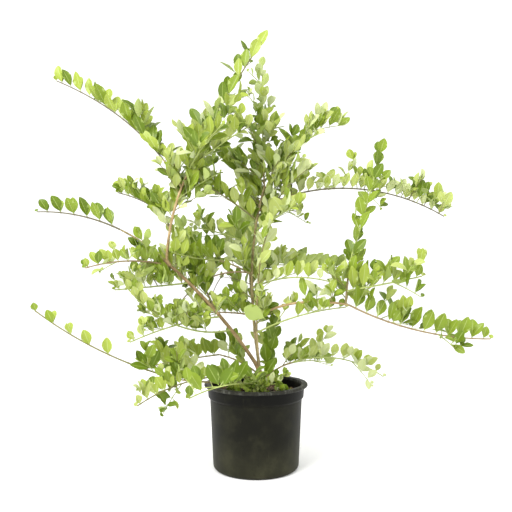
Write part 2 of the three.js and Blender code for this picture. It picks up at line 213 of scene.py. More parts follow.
def add_piece(name, skin, finishes, replaced=(), crease=35, grain=None):
    """Puts a skin in a mesh object at the origin. Edges sharper than crease degrees stay sharp."""
    mesh = bpy.data.meshes.new(name)
    corners = np.concatenate([skin.quads.ravel(), skin.fans.ravel()])
    starts = np.concatenate([
        np.arange(len(skin.quads)) * 4,
        skin.quads.size + np.arange(len(skin.fans)) * 3,
    ])
    mesh.vertices.add(len(skin.points))
    mesh.vertices.foreach_set("co", (skin.points * MM).ravel())
    mesh.loops.add(len(corners))
    mesh.loops.foreach_set("vertex_index", corners.astype(np.int32))
    mesh.polygons.add(len(starts))
    mesh.polygons.foreach_set("loop_start", starts.astype(np.int32))
    for finish in finishes:
        mesh.materials.append(finish)
    wear = np.concatenate([skin.quad_wear, skin.fan_wear]).astype(np.int32)
    mesh.polygons.foreach_set("material_index", wear)
    if grain is not None:
        along = mesh.attributes.new("grain", "FLOAT_VECTOR", "POINT")
        along.data.foreach_set("vector", (grain * MM).ravel().astype(np.float32))
    mesh.update(calc_edges=True)
    mesh.validate()
    mesh.polygons.foreach_set("use_smooth", np.ones(len(mesh.polygons), dtype=bool))
    mesh.set_sharp_from_angle(angle=np.radians(crease))
    piece = bpy.data.objects.new(name, mesh)
    bpy.context.scene.collection.objects.link(piece)
    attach(piece, "root")
    if replaced:
        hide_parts(*replaced)
    return piece


def unit(vectors):
    """The vectors, each made of length 1."""
    return vectors / np.linalg.norm(vectors, axis=-1, keepdims=True)


def ripples(seed, angle, distance, lobes, pitch, waves=7):
    """An uneven height of about -1 to 1 on a tube: a sum of sine waves, each with a whole number of lobes
    round the tube and its own pitch along it, so that the skin closes without a seam."""
    rng = np.random.default_rng(seed)
    total = 0
    for _ in range(waves):
        turns = rng.integers(lobes[0], lobes[1] + 1) * angle
        run = rng.choice([-1, 1]) * 2 * np.pi * distance / (pitch * rng.uniform(0.6, 1.8))
        total = total + np.sin(turns + run + rng.uniform(0, 2 * np.pi))
    return total / np.sqrt(waves)


def arc(middle, radius, start, end, count):
    """Points on a round corner of an outline: the middle plus the radius at evenly spaced angles."""
    angle = np.radians(np.linspace(start, end, count))
    return np.stack([middle[0] + radius * np.cos(angle), middle[1] + radius * np.sin(angle)], axis=-1)


def inner_radius(height):
    """The inside of the wall: one straight taper from the floor of the pot to its lip."""
    foot = POT_BASE_RADIUS + 1 - 2 * POT_WALL
    return foot + (POT_BODY_RADIUS + 3 - POT_WALL - foot) * height / POT_HEIGHT


def turned(outline, sides, uneven=None):
    """A closed solid turned on the pot's axis: each point of the outline, a radius and a height, is carried
    round it. The outline's first and last points lie on the axis. uneven may change radius and height."""
    radius, height = outline[1:-1, :1], outline[1:-1, 1:]
    angle = np.arange(sides) * 2 * np.pi / sides
    radius, height = np.broadcast_arrays(radius, height + 0 * angle)
    if uneven:
        radius, height = uneven(radius, height, angle)
    rings = np.stack([radius * np.cos(angle), radius * np.sin(angle), height], axis=-1).reshape(-1, 3)
    ends = np.array([[0, 0, outline[0, 1]], [0, 0, outline[-1, 1]]])
    return Skin(np.concatenate([rings, ends]), *tube_faces(1, len(outline) - 2, sides))


def handled(radius, height, angle):
    """The wall of a used pot is a little out of round, more so towards the lip, and its lip is lumpy."""
    share = (height / POT_HEIGHT) ** 2
    lip = np.clip((height - LIP_FOOT) / 8, 0, 1) * np.clip((radius - POT_BODY_RADIUS - 2) / 6, 0, 1)
    out = 0.5 * np.cos(2 * angle + 0.7) + 0.3 * np.cos(3 * angle + 2)
    lumps = ripples(3, angle, height, (9, 30), 60)
    radius = radius + share * out + 0.28 * lip * lumps
    return radius, height + 0.5 * share * np.cos(3 * angle + 1) + 0.2 * lip * lumps


# From the middle of the underside up the outside, over the lip, and down the inside to the floor
pot_outline = np.concatenate([
    [[0, 0]],
    np.linspace([8, 0], [POT_BASE_RADIUS + 1 - FOOT_ROUNDING, 0], 12),
    arc((POT_BASE_RADIUS + 1 - FOOT_ROUNDING, FOOT_ROUNDING), FOOT_ROUNDING, -80, -4, 8),
    np.linspace([POT_BASE_RADIUS + 1.1, FOOT_ROUNDING + 2], [POT_BODY_RADIUS, COLLAR_FOOT - 4], 36),
    arc((POT_BODY_RADIUS, COLLAR_FOOT - 1), 2.6, -60, -25, 3),
    arc((POT_COLLAR_RADIUS - 2, COLLAR_FOOT + 2), 2, -60, 0, 5),
    np.linspace([POT_COLLAR_RADIUS + 0.2, COLLAR_FOOT + 4], [POT_COLLAR_RADIUS + 2, POT_HEIGHT - 11], 9),
    arc(LIP_MIDDLE, LIP_ROLL, -150, 95, 20),
    arc((inner_radius(POT_HEIGHT) + 2, POT_HEIGHT - 3), 2, 80, 180, 6),
    np.linspace([inner_radius(POT_HEIGHT - 6), POT_HEIGHT - 6], [inner_radius(10), 10], 36),
    arc((inner_radius(8) - 6, FLOOR_THICKNESS + 6), 6, -10, -90, 6),
    np.linspace([inner_radius(8) - 14, FLOOR_THICKNESS], [8, FLOOR_THICKNESS], 6),
    [[0, FLOOR_THICKNESS]],
])


def rod(start, end, radius, sides):
    """A straight round rod from start to end."""
    start, end = np.array(start, float), np.array(end, float)
    along = unit(end - start)
    side = unit(np.cross(along, [0.3, 0.2, 1]))
    up = np.cross(along, side)
    angle = np.arange(sides)[:, None] * 2 * np.pi / sides
    ring = radius * (side * np.cos(angle) + up * np.sin(angle))
    return Skin(np.concatenate([start + ring, end + ring, [start, end]]), *tube_faces(1, 2, sides))


# Heights in the finish are in metres, as Object coordinates are
plastic = Finish("pot_plastic")
place = plastic.place()
height = plastic.node("ShaderNodeSeparateXYZ", inputs={"Vector": place}, output="Z")
clouds = plastic.noise(place, 16, detail=5, roughness=0.6)
scuffs = plastic.noise(plastic.stretched(place, (1, 1, 0.22)), 95, detail=4, roughness=0.65)
specks = plastic.noise(place, 620, detail=2)
on_lip = height.over(0.2325, 0.2365)
on_foot = 1 - height.over(0.012, 0.115)
# Dull clouds and scuffs of dust, and a rise towards the foot that is partly dust and partly painted
# reflection of the white floor
dust_and_floor_reflection = clouds.over(0.48, 0.8) * 0.06 + scuffs.over(0.6, 0.84) * 0.1
dust_and_floor_reflection = dust_and_floor_reflection + on_foot * (0.02 + clouds * 0.13) + on_lip * 0.04
black = plastic.mixed(clouds.over(0.35, 0.65), colour(16, 16, 9), colour(23, 23, 14))
# Painted shade: from the collar up the black is made darker, standing in for the weaker highlights there
black_with_painted_collar_shade = plastic.mixed(height.over(0.195, 0.21), black, colour(6, 6, 3))
# The black with its painted collar shade, under the dust and the painted floor reflection
dusty_with_painted_light = plastic.mixed(dust_and_floor_reflection, black_with_painted_collar_shade, colour(114, 113, 84))
scuffed = on_lip * (0.04 + scuffs.over(0.45, 0.72) * 0.3)
surface = plastic.node("ShaderNodeBsdfPrincipled", {}, {
    "Base Color": plastic.mixed(scuffed, dusty_with_painted_light, colour(126, 126, 120)),
    "Roughness": 0.4 + clouds * 0.14 + dust_and_floor_reflection * 0.3,
    "Specular IOR Level": 0.1,
    "Normal": plastic.bump(scuffs * 0.7 + specks * 0.3, 0.0004, 0.5),
})
drains = np.radians((np.arange(DRAIN_HOLES) + 0.5) * 360 / DRAIN_HOLES)
cutters = [
    rod([x, y, -5], [x, y, FLOOR_THICKNESS + 5], DRAIN_RADIUS, 28)
    for x, y in DRAIN_CIRCLE * np.stack([np.cos(drains), np.sin(drains)], axis=-1)
]
cutters.append(rod(MARK_OUTER_END, MARK_INNER_END, MARK_RADIUS, 20))
pot = add_piece("nursery_pot", turned(pot_outline, POT_SIDES, handled), [plastic.worn(surface)],
                ["pot"])


def cut(piece, skin):
    """Takes a skin's solids out of a piece."""
    cutter = add_piece("cutter", skin, [])
    boolean = piece.modifiers.new("holes", "BOOLEAN")
    boolean.operation = "DIFFERENCE"
    boolean.solver = "EXACT"
    boolean.object = cutter
    shape = piece.evaluated_get(bpy.context.evaluated_depsgraph_get())
    mesh = bpy.data.meshes.new_from_object(shape)
    piece.modifiers.clear()
    piece.data = mesh
    bpy.data.objects.remove(cutter)


cut(pot, joined(cutters))


# Soil: a bark potting mix that fills the pot to 3 cm below its lip and mounds up at the trunk. Its top is
# loose crumbs and chips of bark.
SOIL_EDGE_LEVEL = 214
SOIL_MOUND_LEVEL = 224
SOIL_MOUND_RADIUS = 48
SOIL_GAP = 0.3
SOIL_SIDES = 120
CRUMBS = 1100
CRUMB_REACH = 126
CRUMB_RINGS = 4
CRUMB_SIDES = 6


def soil_level(x, y):
    """The soil's height: a mound that is flat at the trunk and falls to the wall, with low sine waves of
    two sizes across it."""
    slope = np.interp(np.hypot(x, y), [0, SOIL_MOUND_RADIUS, SOIL_MOUND_RADIUS * 2, 130],
                      [SOIL_MOUND_LEVEL, SOIL_MOUND_LEVEL, SOIL_EDGE_LEVEL + 3, SOIL_EDGE_LEVEL])
    waves = np.sin(x / 9 + 1) * np.sin(y / 8) + 0.7 * np.sin(x / 4.3 + y / 5.1) * np.sin(y / 3.7 - x / 6 + 2)
    return slope - 0.8 + 0.9 * waves


def loosened(radius, height, angle):
    """Carries the top of the soil to its uneven level."""
    top = soil_level(radius * np.cos(angle), radius * np.sin(angle))
    return radius, np.where(height > SOIL_EDGE_LEVEL - 1, top, height)


# From the middle of the floor up the wall, and over the top to the trunk
soil_outline = np.concatenate([
    [[0, FLOOR_THICKNESS + SOIL_GAP]],
    np.linspace([20, FLOOR_THICKNESS + SOIL_GAP], [inner_radius(5) - 7, FLOOR_THICKNESS + SOIL_GAP], 4),
    np.linspace([inner_radius(12) - 1, 12], [inner_radius(205) - 1, 205], 6),
    np.linspace([inner_radius(SOIL_EDGE_LEVEL) - 1, SOIL_EDGE_LEVEL], [2, SOIL_EDGE_LEVEL], 44),
    [[0, SOIL_MOUND_LEVEL]],
])


def crumbs(count, seed):
    """Chips and crumbs lying on the soil: short round rods, thick in the middle, each with its own length,
    thickness and lie, and with uneven sides."""
    rng = np.random.default_rng(seed)
    bearing = rng.uniform(0, 2 * np.pi, count)
    out = CRUMB_REACH * np.sqrt(rng.uniform(0.01, 1, count))
    x, y = out * np.cos(bearing), out * np.sin(bearing)
    size = 1.1 + 3.2 * rng.uniform(0, 1, count) ** 3
    middle = np.stack([x, y, soil_level(x, y) + 0.3 * size], axis=-1)
    heading, tilt = rng.uniform(0, 2 * np.pi, count), rng.uniform(-0.5, 0.5, count)
    along = np.stack([np.cos(tilt) * np.cos(heading), np.cos(tilt) * np.sin(heading), np.sin(tilt)], axis=-1)
    side = np.stack([-np.sin(heading), np.cos(heading), 0 * heading], axis=-1)
    up = np.cross(along, side)
    reach = np.linspace(-0.8, 0.8, CRUMB_RINGS)[None, :, None, None]
    spot = (np.arange(CRUMB_SIDES) * 2 * np.pi / CRUMB_SIDES)[None, None, :, None]
    girth = np.sqrt(1 - reach ** 2) * rng.uniform(0.7, 1.15, (count, CRUMB_RINGS, CRUMB_SIDES, 1))
    long = size * rng.uniform(1, 2.4, count)
    flat = rng.uniform(0.35, 0.8, count)

    def each(values):
        return values.reshape(count, 1, 1, -1)

    rings = each(middle) + each(long) * reach * each(along) + each(size) * girth * (
        each(side) * np.cos(spot) + each(flat) * each(up) * np.sin(spot))
    ends = middle[:, None] + (long[:, None] * [[-0.95, 0.95]])[..., None] * along[:, None]
    points = np.concatenate([rings.reshape(count, -1, 3), ends], axis=1).reshape(-1, 3)
    quads, fans = tube_faces(count, CRUMB_RINGS, CRUMB_SIDES)
    wear = rng.integers(0, 3, count)
    quad_wear, fan_wear = (np.repeat(wear, len(faces) // count) for faces in (quads, fans))
    return Skin(points, quads, fans, quad_wear, fan_wear)


def earth(name, dark, pale):
    """Moist potting mix: brown broken up by noise of two sizes, matt, and rough to the touch."""
    finish = Finish(name)
    where = finish.place()
    coarse, fine = finish.noise(where, 70, detail=4), finish.noise(where, 420, detail=4, roughness=0.7)
    surface = finish.node("ShaderNodeBsdfPrincipled", {}, {
        "Base Color": finish.mixed(coarse.over(0.3, 0.7) * 0.6 + fine.over(0.45, 0.75) * 0.5, dark, pale),
        "Roughness": 0.78 + fine * 0.2,
        "Normal": finish.bump(fine + coarse, 0.0015, 0.8),
    })
    return finish.worn(surface)


soil_finish = earth("potting_mix", colour(44, 31, 21), colour(96, 72, 50))
add_piece("potting_mix", turned(soil_outline, SOIL_SIDES, loosened), [soil_finish], ["soil"])
add_piece("bark_crumbs", crumbs(CRUMBS, 11), [
    earth("dark_crumb", colour(38, 28, 20), colour(82, 60, 42)),
    earth("brown_crumb", colour(84, 58, 36), colour(128, 94, 62)),
    earth("pale_crumb", colour(118, 96, 70), colour(160, 138, 104)),
], crease=50)


# Trunk and boughs: woody limbs, each grown from the side of the one that carries it. Their bark is tan to
# grey-brown, furrowed lengthwise, with a ring and a pair of raised leaf scars at every old node.
FOOT = np.array([18, 0, SOIL_MOUND_LEVEL + 0.3])
FLARE = 4.5
FLARE_HEIGHT = 11
FIRST_OLD_NODE = 20
OLD_NODE_GAP = 37
NODE_RING_WIDTH = 1.7
KNOT = {"left_bough": 403}
KNOT_WIDTH = 11
LIMB_SIDES = 20
LIMB_RING_GAP = 2.4
# A row gives a limb's parent, how far up the parent it leaves, its heading round from +X and the swing of
# it, its climb at the root and at the tip in degrees, its length, and its radius at the root and the tip.
LIMBS = [
    ["trunk", None, 0, [180, 0], [90, 64], 74, [8.2, 7]],
    ["left_bough", "trunk", 68, [204, -20], [56, 41], 414, [5.3, 4.4]],
    ["left_riser", "left_bough", 403, [58, -50], [86, 61], 317, [4, 3]],
    ["centre_stem", "trunk", 44, [118, 64], [74, 106], 560, [4.9, 3]],
    ["second_stem", "trunk", 32, [-110, 0], [66, 106], 300, [3, 2]],
    ["right_bough", "centre_stem", 158, [-53, 41], [30, -10], 321, [3.6, 2.8]],
    ["right_upright_bough", "right_bough", 312, [0, 0], [85, 84], 110, [2.9, 2.4]],
    ["upper_right_bough", "centre_stem", 482, [15, -6], [33, 18], 120, [2.6, 2.1]],
    ["top_right_bough", "centre_stem", 540, [32, -4], [54, 50], 90, [2.6, 2.1]],
    ["centre_top_bough", "centre_stem", 556, [93, -1], [53, 61], 110, [2.6, 2.1]],
    ["top_left_bough", "left_riser", 222, [150, 5], [56, 49], 110, [2.7, 2.2]],
    ["left_branch_bough", "left_bough", 410, [199, -8], [44, 26], 150, [3, 2.4]],
    ["low_right_bough", "trunk", 22, [38, -13], [36, 10], 120, [2.8, 2.2]],
    ["left_low_bough", "trunk", 16, [203, -6], [3, 9], 240, [3, 2.4]],
    ["back_bough", "centre_stem", 205, [100, -12], [48, 30], 190, [3, 2.3]],
    ["back_left_bough", "left_bough", 210, [125, -10], [50, 32], 170, [3, 2.3]],
    ["back_right_bough", "centre_stem", 250, [52, -10], [30, 16], 150, [2.8, 2.2]],
    ["back_low_bough", "trunk", 38, [150, 8], [34, 8], 150, [2.8, 2.2]],
    ["front_bough", "centre_stem", 290, [-160, -10], [34, 14], 110, [2.6, 2.1]],
]


def dice(seed, draw):
    """A repeatable number from 0 to 1 for each seed and draw: the part of a large sine after its point."""
    wave = np.sin(seed * 12.9898 + np.asarray(draw) * 78.233) * 43758.5453
    return wave - np.floor(wave)


def mean_cosine(start, change, t):
    """The mean of the cosine of an angle that grows evenly from start by change * t: the cosine half way,
    times the sine of half the change over half the change."""
    half = change * t / 2
    return np.cos(start + half) * np.sinc(half / np.pi)


class Shoot:
    """The middle line of a limb, stem or twig, in millimetres. Its heading and its climb change evenly
    along it, so it bends like a shoot under its own weight."""

    def __init__(self, root, heading, climb, length):
        self.root = np.asarray(root, dtype=float)
        self.length = length
        self.heading, self.swing = np.radians(heading)
        self.climb = np.radians(climb[0])
        self.bend = np.radians(climb[1] - climb[0])

    def points(self, t):
        """Points at shares t of the length: the root plus the length so far times the mean way."""
        t = np.atleast_1d(t)
        quarter = np.pi / 2
        less = mean_cosine(self.climb - self.heading, self.bend - self.swing, t)
        more = mean_cosine(self.climb + self.heading, self.bend + self.swing, t)
        side_less = mean_cosine(self.climb - self.heading + quarter, self.bend - self.swing, t)
        side_more = mean_cosine(self.climb + self.heading - quarter, self.bend + self.swing, t)
        rise = mean_cosine(self.climb - quarter, self.bend, t)
        way = np.stack([(less + more) / 2, (side_less + side_more) / 2, rise], axis=-1)
        return self.root + self.length * t[:, None] * way

    def frames(self, t):
        """The way along the shoot at shares t, and the two ways square to it: level, and up."""
        t = np.atleast_1d(t)
        h = self.heading + self.swing * t
        r = self.climb + self.bend * t
        along = np.stack([np.cos(r) * np.cos(h), np.cos(r) * np.sin(h), np.sin(r)], axis=-1)
        side = np.stack([-np.sin(h), np.cos(h), 0 * h], axis=-1)
        return along, side, np.cross(along, side)


def grown(rows, shoots):
    """The middle lines of a table's rows, each rooted on the middle line of its parent."""
    for name, parent, at, heading, climb, length, *_ in rows:
        root = shoots[parent].points(at / shoots[parent].length)[0] if parent else FOOT
        shoots[name] = Shoot(root, heading, climb, length)


def limb_radius(name, distance, angle, length, base, tip, seed):
    """A limb's radius at each point of its skin: an even taper, with a flare of five roots on the trunk or
    a collar on a bough, lengthwise furrows, a ring with two opposite scars at each node, a lump where there
    is a knot, and a round tip."""
    radius = base + (tip - base) * distance / length
    if name == "trunk":
        radius = radius + FLARE * np.exp(-distance / FLARE_HEIGHT) * (1 + 0.3 * np.cos(5 * angle + 1))
    else:
        radius = radius + 0.35 * base * np.exp(-distance / (2.2 * base))
    old = base / 8
    radius = radius + old * 0.42 * ripples(seed, angle, distance, (3, 8), 55)
    radius = radius + old * 0.2 * ripples(seed + 1, angle, distance, (5, 10), 11)
    node = np.round((distance - FIRST_OLD_NODE) / OLD_NODE_GAP)
    near = np.exp(-((distance - FIRST_OLD_NODE - node * OLD_NODE_GAP) / NODE_RING_WIDTH) ** 2)
    scars = np.clip(np.cos(2 * (angle - node * np.pi / 2 - 0.6 * np.sin(7 * node))), 0, 1) ** 4
    radius = radius + near * (0.3 + 0.75 * scars)
    if name in KNOT:
        lump = np.exp(-((distance - KNOT[name]) / KNOT_WIDTH) ** 2)
        radius = radius + lump * (3.6 + 1.1 * ripples(seed + 2, angle, distance, (2, 4), 22))
    into_tip = np.clip((distance - length + tip) / tip, 0, 0.995)
    return radius * np.sqrt(1 - into_tip ** 2)


def limb_skin(name, shoot, base, tip, seed):
    """A limb's skin and its grain. The skin is the middle line plus the radius round it. The grain is each
    point's place on the limb as if it were straightened out, so that the bark's pattern runs along it."""
    rings = int(np.ceil(shoot.length / LIMB_RING_GAP))
    t = np.linspace(0, 1, rings)
    distance = (t * shoot.length)[:, None]
    angle = (np.arange(LIMB_SIDES) * 2 * np.pi / LIMB_SIDES)[None, :]
    radius = limb_radius(name, distance, angle, shoot.length, base, tip, seed)
    _, side, up = shoot.frames(t)
    middle = shoot.points(t)
    ring = side[:, None] * np.cos(angle)[..., None] + up[:, None] * np.sin(angle)[..., None]
    points = middle[:, None] + radius[..., None] * ring
    grain = np.stack([radius * np.cos(angle), radius * np.sin(angle), distance + 0 * angle], axis=-1)
    grain_ends = np.array([[0, 0, 0], [0, 0, shoot.length]])
    skin = Skin(np.concatenate([points.reshape(-1, 3), middle[[0, -1]]]), *tube_faces(1, rings, LIMB_SIDES))
    return skin, np.concatenate([grain.reshape(-1, 3), grain_ends])


def bark(name, shade, body, pale, foot=None):
    """Bark seen along the limb: long streaks of three browns, corky dots, and at the foot of the trunk a
    warmer brown where the soil has kept it moist."""
    finish = Finish(name)
    grain = finish.node("ShaderNodeAttribute", {"attribute_name": "grain"}, output="Vector")
    along = finish.node("ShaderNodeSeparateXYZ", inputs={"Vector": grain}, output="Z")
    streaks = finish.noise(finish.stretched(grain, (1, 1, 0.09)), 620, detail=5, roughness=0.65)
    patches = finish.noise(grain, 42, detail=3)
    dots = finish.cells(finish.stretched(grain, (1, 1, 0.6)), 520)
    browns = finish.mixed(streaks.over(0.34, 0.6), shade, body)
    browns = finish.mixed(patches.over(0.42, 0.66) * 0.8, browns, pale)
    browns = finish.mixed((1 - dots.over(0.1, 0.34)) * streaks.over(0.45, 0.7) * 0.55, browns, shade)
    if foot:
        browns = finish.mixed((1 - along.over(0.004, 0.03)) * 0.8, browns, foot)
    surface = finish.node("ShaderNodeBsdfPrincipled", {}, {
        "Base Color": browns,
        "Roughness": 0.6 + streaks * 0.3,
        "Normal": finish.bump(streaks + dots * 0.3, 0.0006, 0.8),
    })
    return finish.worn(surface)


trunk_bark = bark("trunk_bark", colour(92, 66, 42), colour(158, 122, 80), colour(182, 150, 106),
                  colour(172, 104, 52))
brown_bark = bark("brown_bark", colour(92, 74, 46), colour(142, 118, 76), colour(170, 146, 104))
tan_bark = bark("tan_bark", colour(110, 90, 58), colour(162, 136, 92), colour(186, 162, 120))
olive_bark = bark("olive_bark", colour(84, 74, 48), colour(150, 136, 88), colour(172, 154, 112))
LIMB_BARKS = {"trunk": trunk_bark, "left_bough": brown_bark, "left_riser": tan_bark, "right_bough": tan_bark}

shoots = {}
grown(LIMBS, shoots)
for order, (name, *_, (base, tip)) in enumerate(LIMBS):
    skin, grain = limb_skin(name, shoots[name], base, tip, 100 + 5 * order)
    add_piece(name + "_bark", skin, [LIMB_BARKS.get(name, olive_bark)], [name],
              crease=60, grain=grain)


# Stems and twigs: the young growth that carries the leaves. Each mass of foliage has one long stem, most
# with side twigs, and short spurs shoot from the axils of its leaves. The limbs have sprays of their own.

# A row is as for a limb, then the length of the mass's leaves, its number of side twigs, its habit and
# the rind of its stem
MASSES = [
    ["leader", "left_riser", 317, [27, -29], [66, 55], 410, 59, 3, "spear", "olive"],
    ["top_left_arch", "top_left_bough", 110, [155, 21], [49, 23], 438, 57, 2, "arch", "grey"],
    ["left_branch", "left_branch_bough", 150, [191, -11], [26, -2], 232, 42, 0, "wand", "grey"],
    ["left_side", "left_bough", 386, [219, 1], [14, -16], 258, 36, 2, "fan", "tan"],
    ["left_tuft", "left_riser", 98, [116, 50], [39, 14], 267, 38, 3, "tuft", "grey"],
    ["left_low_long", "left_low_bough", 240, [197, -10], [16, 38], 440, 36, 0, "trail", "olive"],
    ["left_low_short", "trunk", 28, [207, 20], [15, -22], 405, 37, 2, "late_tip", "olive"],
    ["front_left_low", "trunk", 9, [244, -1], [16, -5], 396, 50, 2, "front", "green"],
    ["left_mid_low", "left_bough", 185, [216, -12], [-2, -22], 275, 33, 2, "late", "green"],
    ["left_mid_high", "left_bough", 318, [200, -10], [-6, -4], 205, 35, 2, "thicket", "green"],
    ["left_mid_riser", "left_bough", 135, [218, -20], [-8, 52], 345, 33, 2, "late", "green"],
    ["centre_left", "centre_stem", 172, [188, 8], [10, -3], 150, 40, 2, "bushy", "tan"],
    ["right_spray", "right_bough", 321, [-23, 27], [-26, 0], 380, 47, 2, "arch_full", "tan"],
    ["right_upright", "right_upright_bough", 110, [5, 10], [72, 76], 332, 44, 0, "ladder", "green"],
    ["right_upright_side", "right_upright_bough", 36, [-40, 22], [10, 13], 208, 46, 2, "thicket", "green"],
    ["right_upper", "upper_right_bough", 120, [9, -24], [16, -33], 468, 36, 3, "arch_out", "grey"],
    ["right_top", "top_right_bough", 90, [28, -12], [49, 41], 283, 48, 2, "crown", "green"],
    ["centre_top", "centre_top_bough", 110, [92, -3], [61, 90], 353, 37, 3, "column", "green"],
    ["mid_right", "centre_stem", 250, [-42, 10], [24, -13], 271, 36, 1, "sparse", "green"],
    ["low_right", "low_right_bough", 120, [25, -32], [14, -34], 303, 38, 2, "pale", "green"],
    ["under_right", "second_stem", 140, [-26, 14], [28, 6], 270, 37, 2, "late_few", "green"],
    ["second_top", "second_stem", 290, [-60, 20], [84, 60], 170, 42, 2, "fan", "olive"],
    ["green_riser", "trunk", 13, [8, 20], [74, 80], 190, 48, 1, "wand", "green"],
    ["small_right", "centre_stem", 468, [45, -14], [22, -8], 171, 37, 2, "fan", "grey"],
    ["back_high", "back_bough", 190, [88, 20], [34, 50], 320, 45, 2, "thicket", "olive"],
    ["back_mid", "back_bough", 150, [60, -20], [12, -6], 275, 45, 2, "fan", "green"],
    ["back_left", "back_left_bough", 170, [108, 6], [34, 30], 300, 45, 2, "fan", "olive"],
    ["back_right", "back_right_bough", 150, [42, -10], [4, -4], 325, 45, 2, "sparse", "green"],
    ["back_low", "back_low_bough", 150, [150, -6], [-10, -14], 290, 42, 2, "fan", "olive"],
    ["back_low_right", "low_right_bough", 96, [62, -8], [0, -12], 285, 42, 2, "sparse", "green"],
    ["front_centre", "front_bough", 110, [-150, 34], [2, 12], 180, 47, 2, "sparse", "green"],
    ["front_upper", "left_riser", 262, [-62, 16], [38, 22], 220, 48, 3, "thicket", "green"],
    ["front_high", "left_riser", 290, [-14, 10], [36, 30], 200, 47, 2, "thicket", "green"],
    ["back_top", "centre_stem", 508, [128, 10], [44, 40], 280, 45, 2, "thicket", "olive"],
    ["back_left_high", "left_riser", 160, [70, 4], [36, 30], 240, 45, 2, "thicket", "grey"],
    ["left_inner", "centre_stem", 380, [186, 8], [24, 8], 190, 43, 3, "sparse", "green"],
    ["right_inner", "centre_stem", 420, [-42, 14], [30, 20], 170, 45, 2, "fan", "green"],
    ["foot_spray", "trunk", 6, [-52, -10], [20, 8], 95, 25, 1, "fan", "green"],
    ["left_inner_high", "centre_stem", 455, [188, 6], [38, 28], 200, 46, 2, "thicket", "olive"],
]
# The masses whose twigs, and whose leaves, are joined to one piece
REGIONS = {
    "left": ["left_branch", "left_side", "left_tuft", "top_left_arch"],
    "left_middle": ["left_mid_low", "left_mid_high", "left_mid_riser", "back_left_high"],
    "low_left": ["left_low_long", "left_low_short", "front_left_low"],
    "top": ["leader", "centre_top", "right_top", "front_high", "back_top", "front_upper"],
    "middle": ["centre_left", "left_inner", "right_inner", "small_right", "mid_right", "second_top",
               "front_centre", "left_inner_high"],
    "right": ["right_spray", "right_upright", "right_upright_side", "right_upper"],
    "low_right": ["low_right", "under_right", "green_riser", "foot_spray"],
    "back": ["back_high", "back_mid", "back_left", "back_right", "back_low", "back_low_right"],
}
# A habit gives the gap between pairs of leaves, how many of the axils shoot, up to what share of the
# stem they do, how long the spurs are, what share of the stem is bare at its root, and how much lighter
# the leaves are, in tints
HABITS = {
    "column": [34, 1, 0.55, 90, 0, 0.4],
    "spear": [32, 0.85, 0.85, 52, 0, -1.4],
    "ladder": [36, 0.8, 0.6, 54, 0, 0.5],
    "pale": [36, 0.4, 0.9, 36, 0, 2],
    "crown": [38, 1, 0.66, 100, 0, 0.4],
    "sparse": [36, 0.4, 0.9, 36, 0, 0],
    "arch": [33, 0.95, 0.62, 84, 0, -1.5],
    "arch_full": [31, 0.85, 0.8, 66, 0, 0],
    "arch_out": [27, 0.95, 1, 66, 0, 0.4],
    "wand": [36, 0, 0.9, 34, 0, -0.4],
    "trail": [56, 0, 0.2, 80, 0.4, -0.5],
    "fan": [29, 0.6, 0.85, 62, 0, 0.2],
    "bushy": [18, 1, 1, 56, 0, -0.8],
    "late": [28, 0.9, 0.95, 74, 0.28, 0.1],
    "late_tip": [26, 0.9, 0.95, 70, 0.42, 0],
    "late_few": [30, 0.5, 0.95, 50, 0.42, 0],
    "tuft": [26, 0.95, 0.95, 70, 0.3, 0.3],
    "front": [28, 0.75, 0.95, 60, 0.38, -0.8],
    "thicket": [29, 0.85, 0.95, 88, 0, 0],
}
# A limb's sprays: the limb, from and up to where on it, the gap between them, their length, the length of
# their leaves, and the region they are joined to
LIMB_SPRAYS = [
    ["left_riser", 96, 300, 26, 96, 40, "left"],
    ["top_left_bough", 25, 105, 36, 76, 42, "left"],
    ["left_bough", 255, 395, 28, 98, 40, "left_middle"],
    ["left_low_bough", 150, 240, 40, 70, 40, "low_left"],
    ["left_low_long", 5, 105, 26, 96, 40, "low_left"],
    ["centre_stem", 105, 400, 33, 104, 41, "middle"],
    ["second_stem", 170, 290, 28, 80, 40, "middle"],
    ["front_bough", 30, 110, 34, 90, 42, "middle"],
    ["centre_top_bough", 15, 110, 20, 120, 46, "top"],
    ["top_right_bough", 10, 90, 15, 120, 48, "top"],
    ["upper_right_bough", 15, 120, 24, 110, 42, "right"],
    ["right_upright_bough", 15, 110, 26, 58, 42, "right"],
    ["right_bough", 190, 320, 40, 46, 42, "right"],
    ["low_right_bough", 40, 120, 44, 50, 36, "low_right"],
    ["back_bough", 40, 190, 34, 100, 42, "back"],
    ["back_left_bough", 40, 170, 34, 100, 42, "back"],
    ["back_right_bough", 40, 150, 50, 80, 42, "back"],
    ["back_low_bough", 40, 150, 38, 90, 42, "back"],
    ["centre_stem", 405, 556, 15, 128, 45, "top"],
    ["left_riser", 130, 300, 26, 118, 43, "top"],
    ["left_bough", 300, 400, 34, 90, 40, "left_middle"],
    ["leader", 30, 110, 40, 80, 42, "top"],
    ["centre_top", 5, 110, 44, 90, 42, "top"],
    ["right_upper", 330, 462, 24, 60, 43, "right"],
    ["right_top", 5, 110, 40, 66, 42, "top"],
    ["right_bough", 12, 70, 22, 60, 38, "right"],
    ["right_upper", 180, 320, 36, 62, 42, "right"],
    ["left_mid_low", 20, 150, 30, 78, 38, "left_middle"],
    ["left_mid_high", 20, 130, 34, 84, 38, "left_middle"],
]
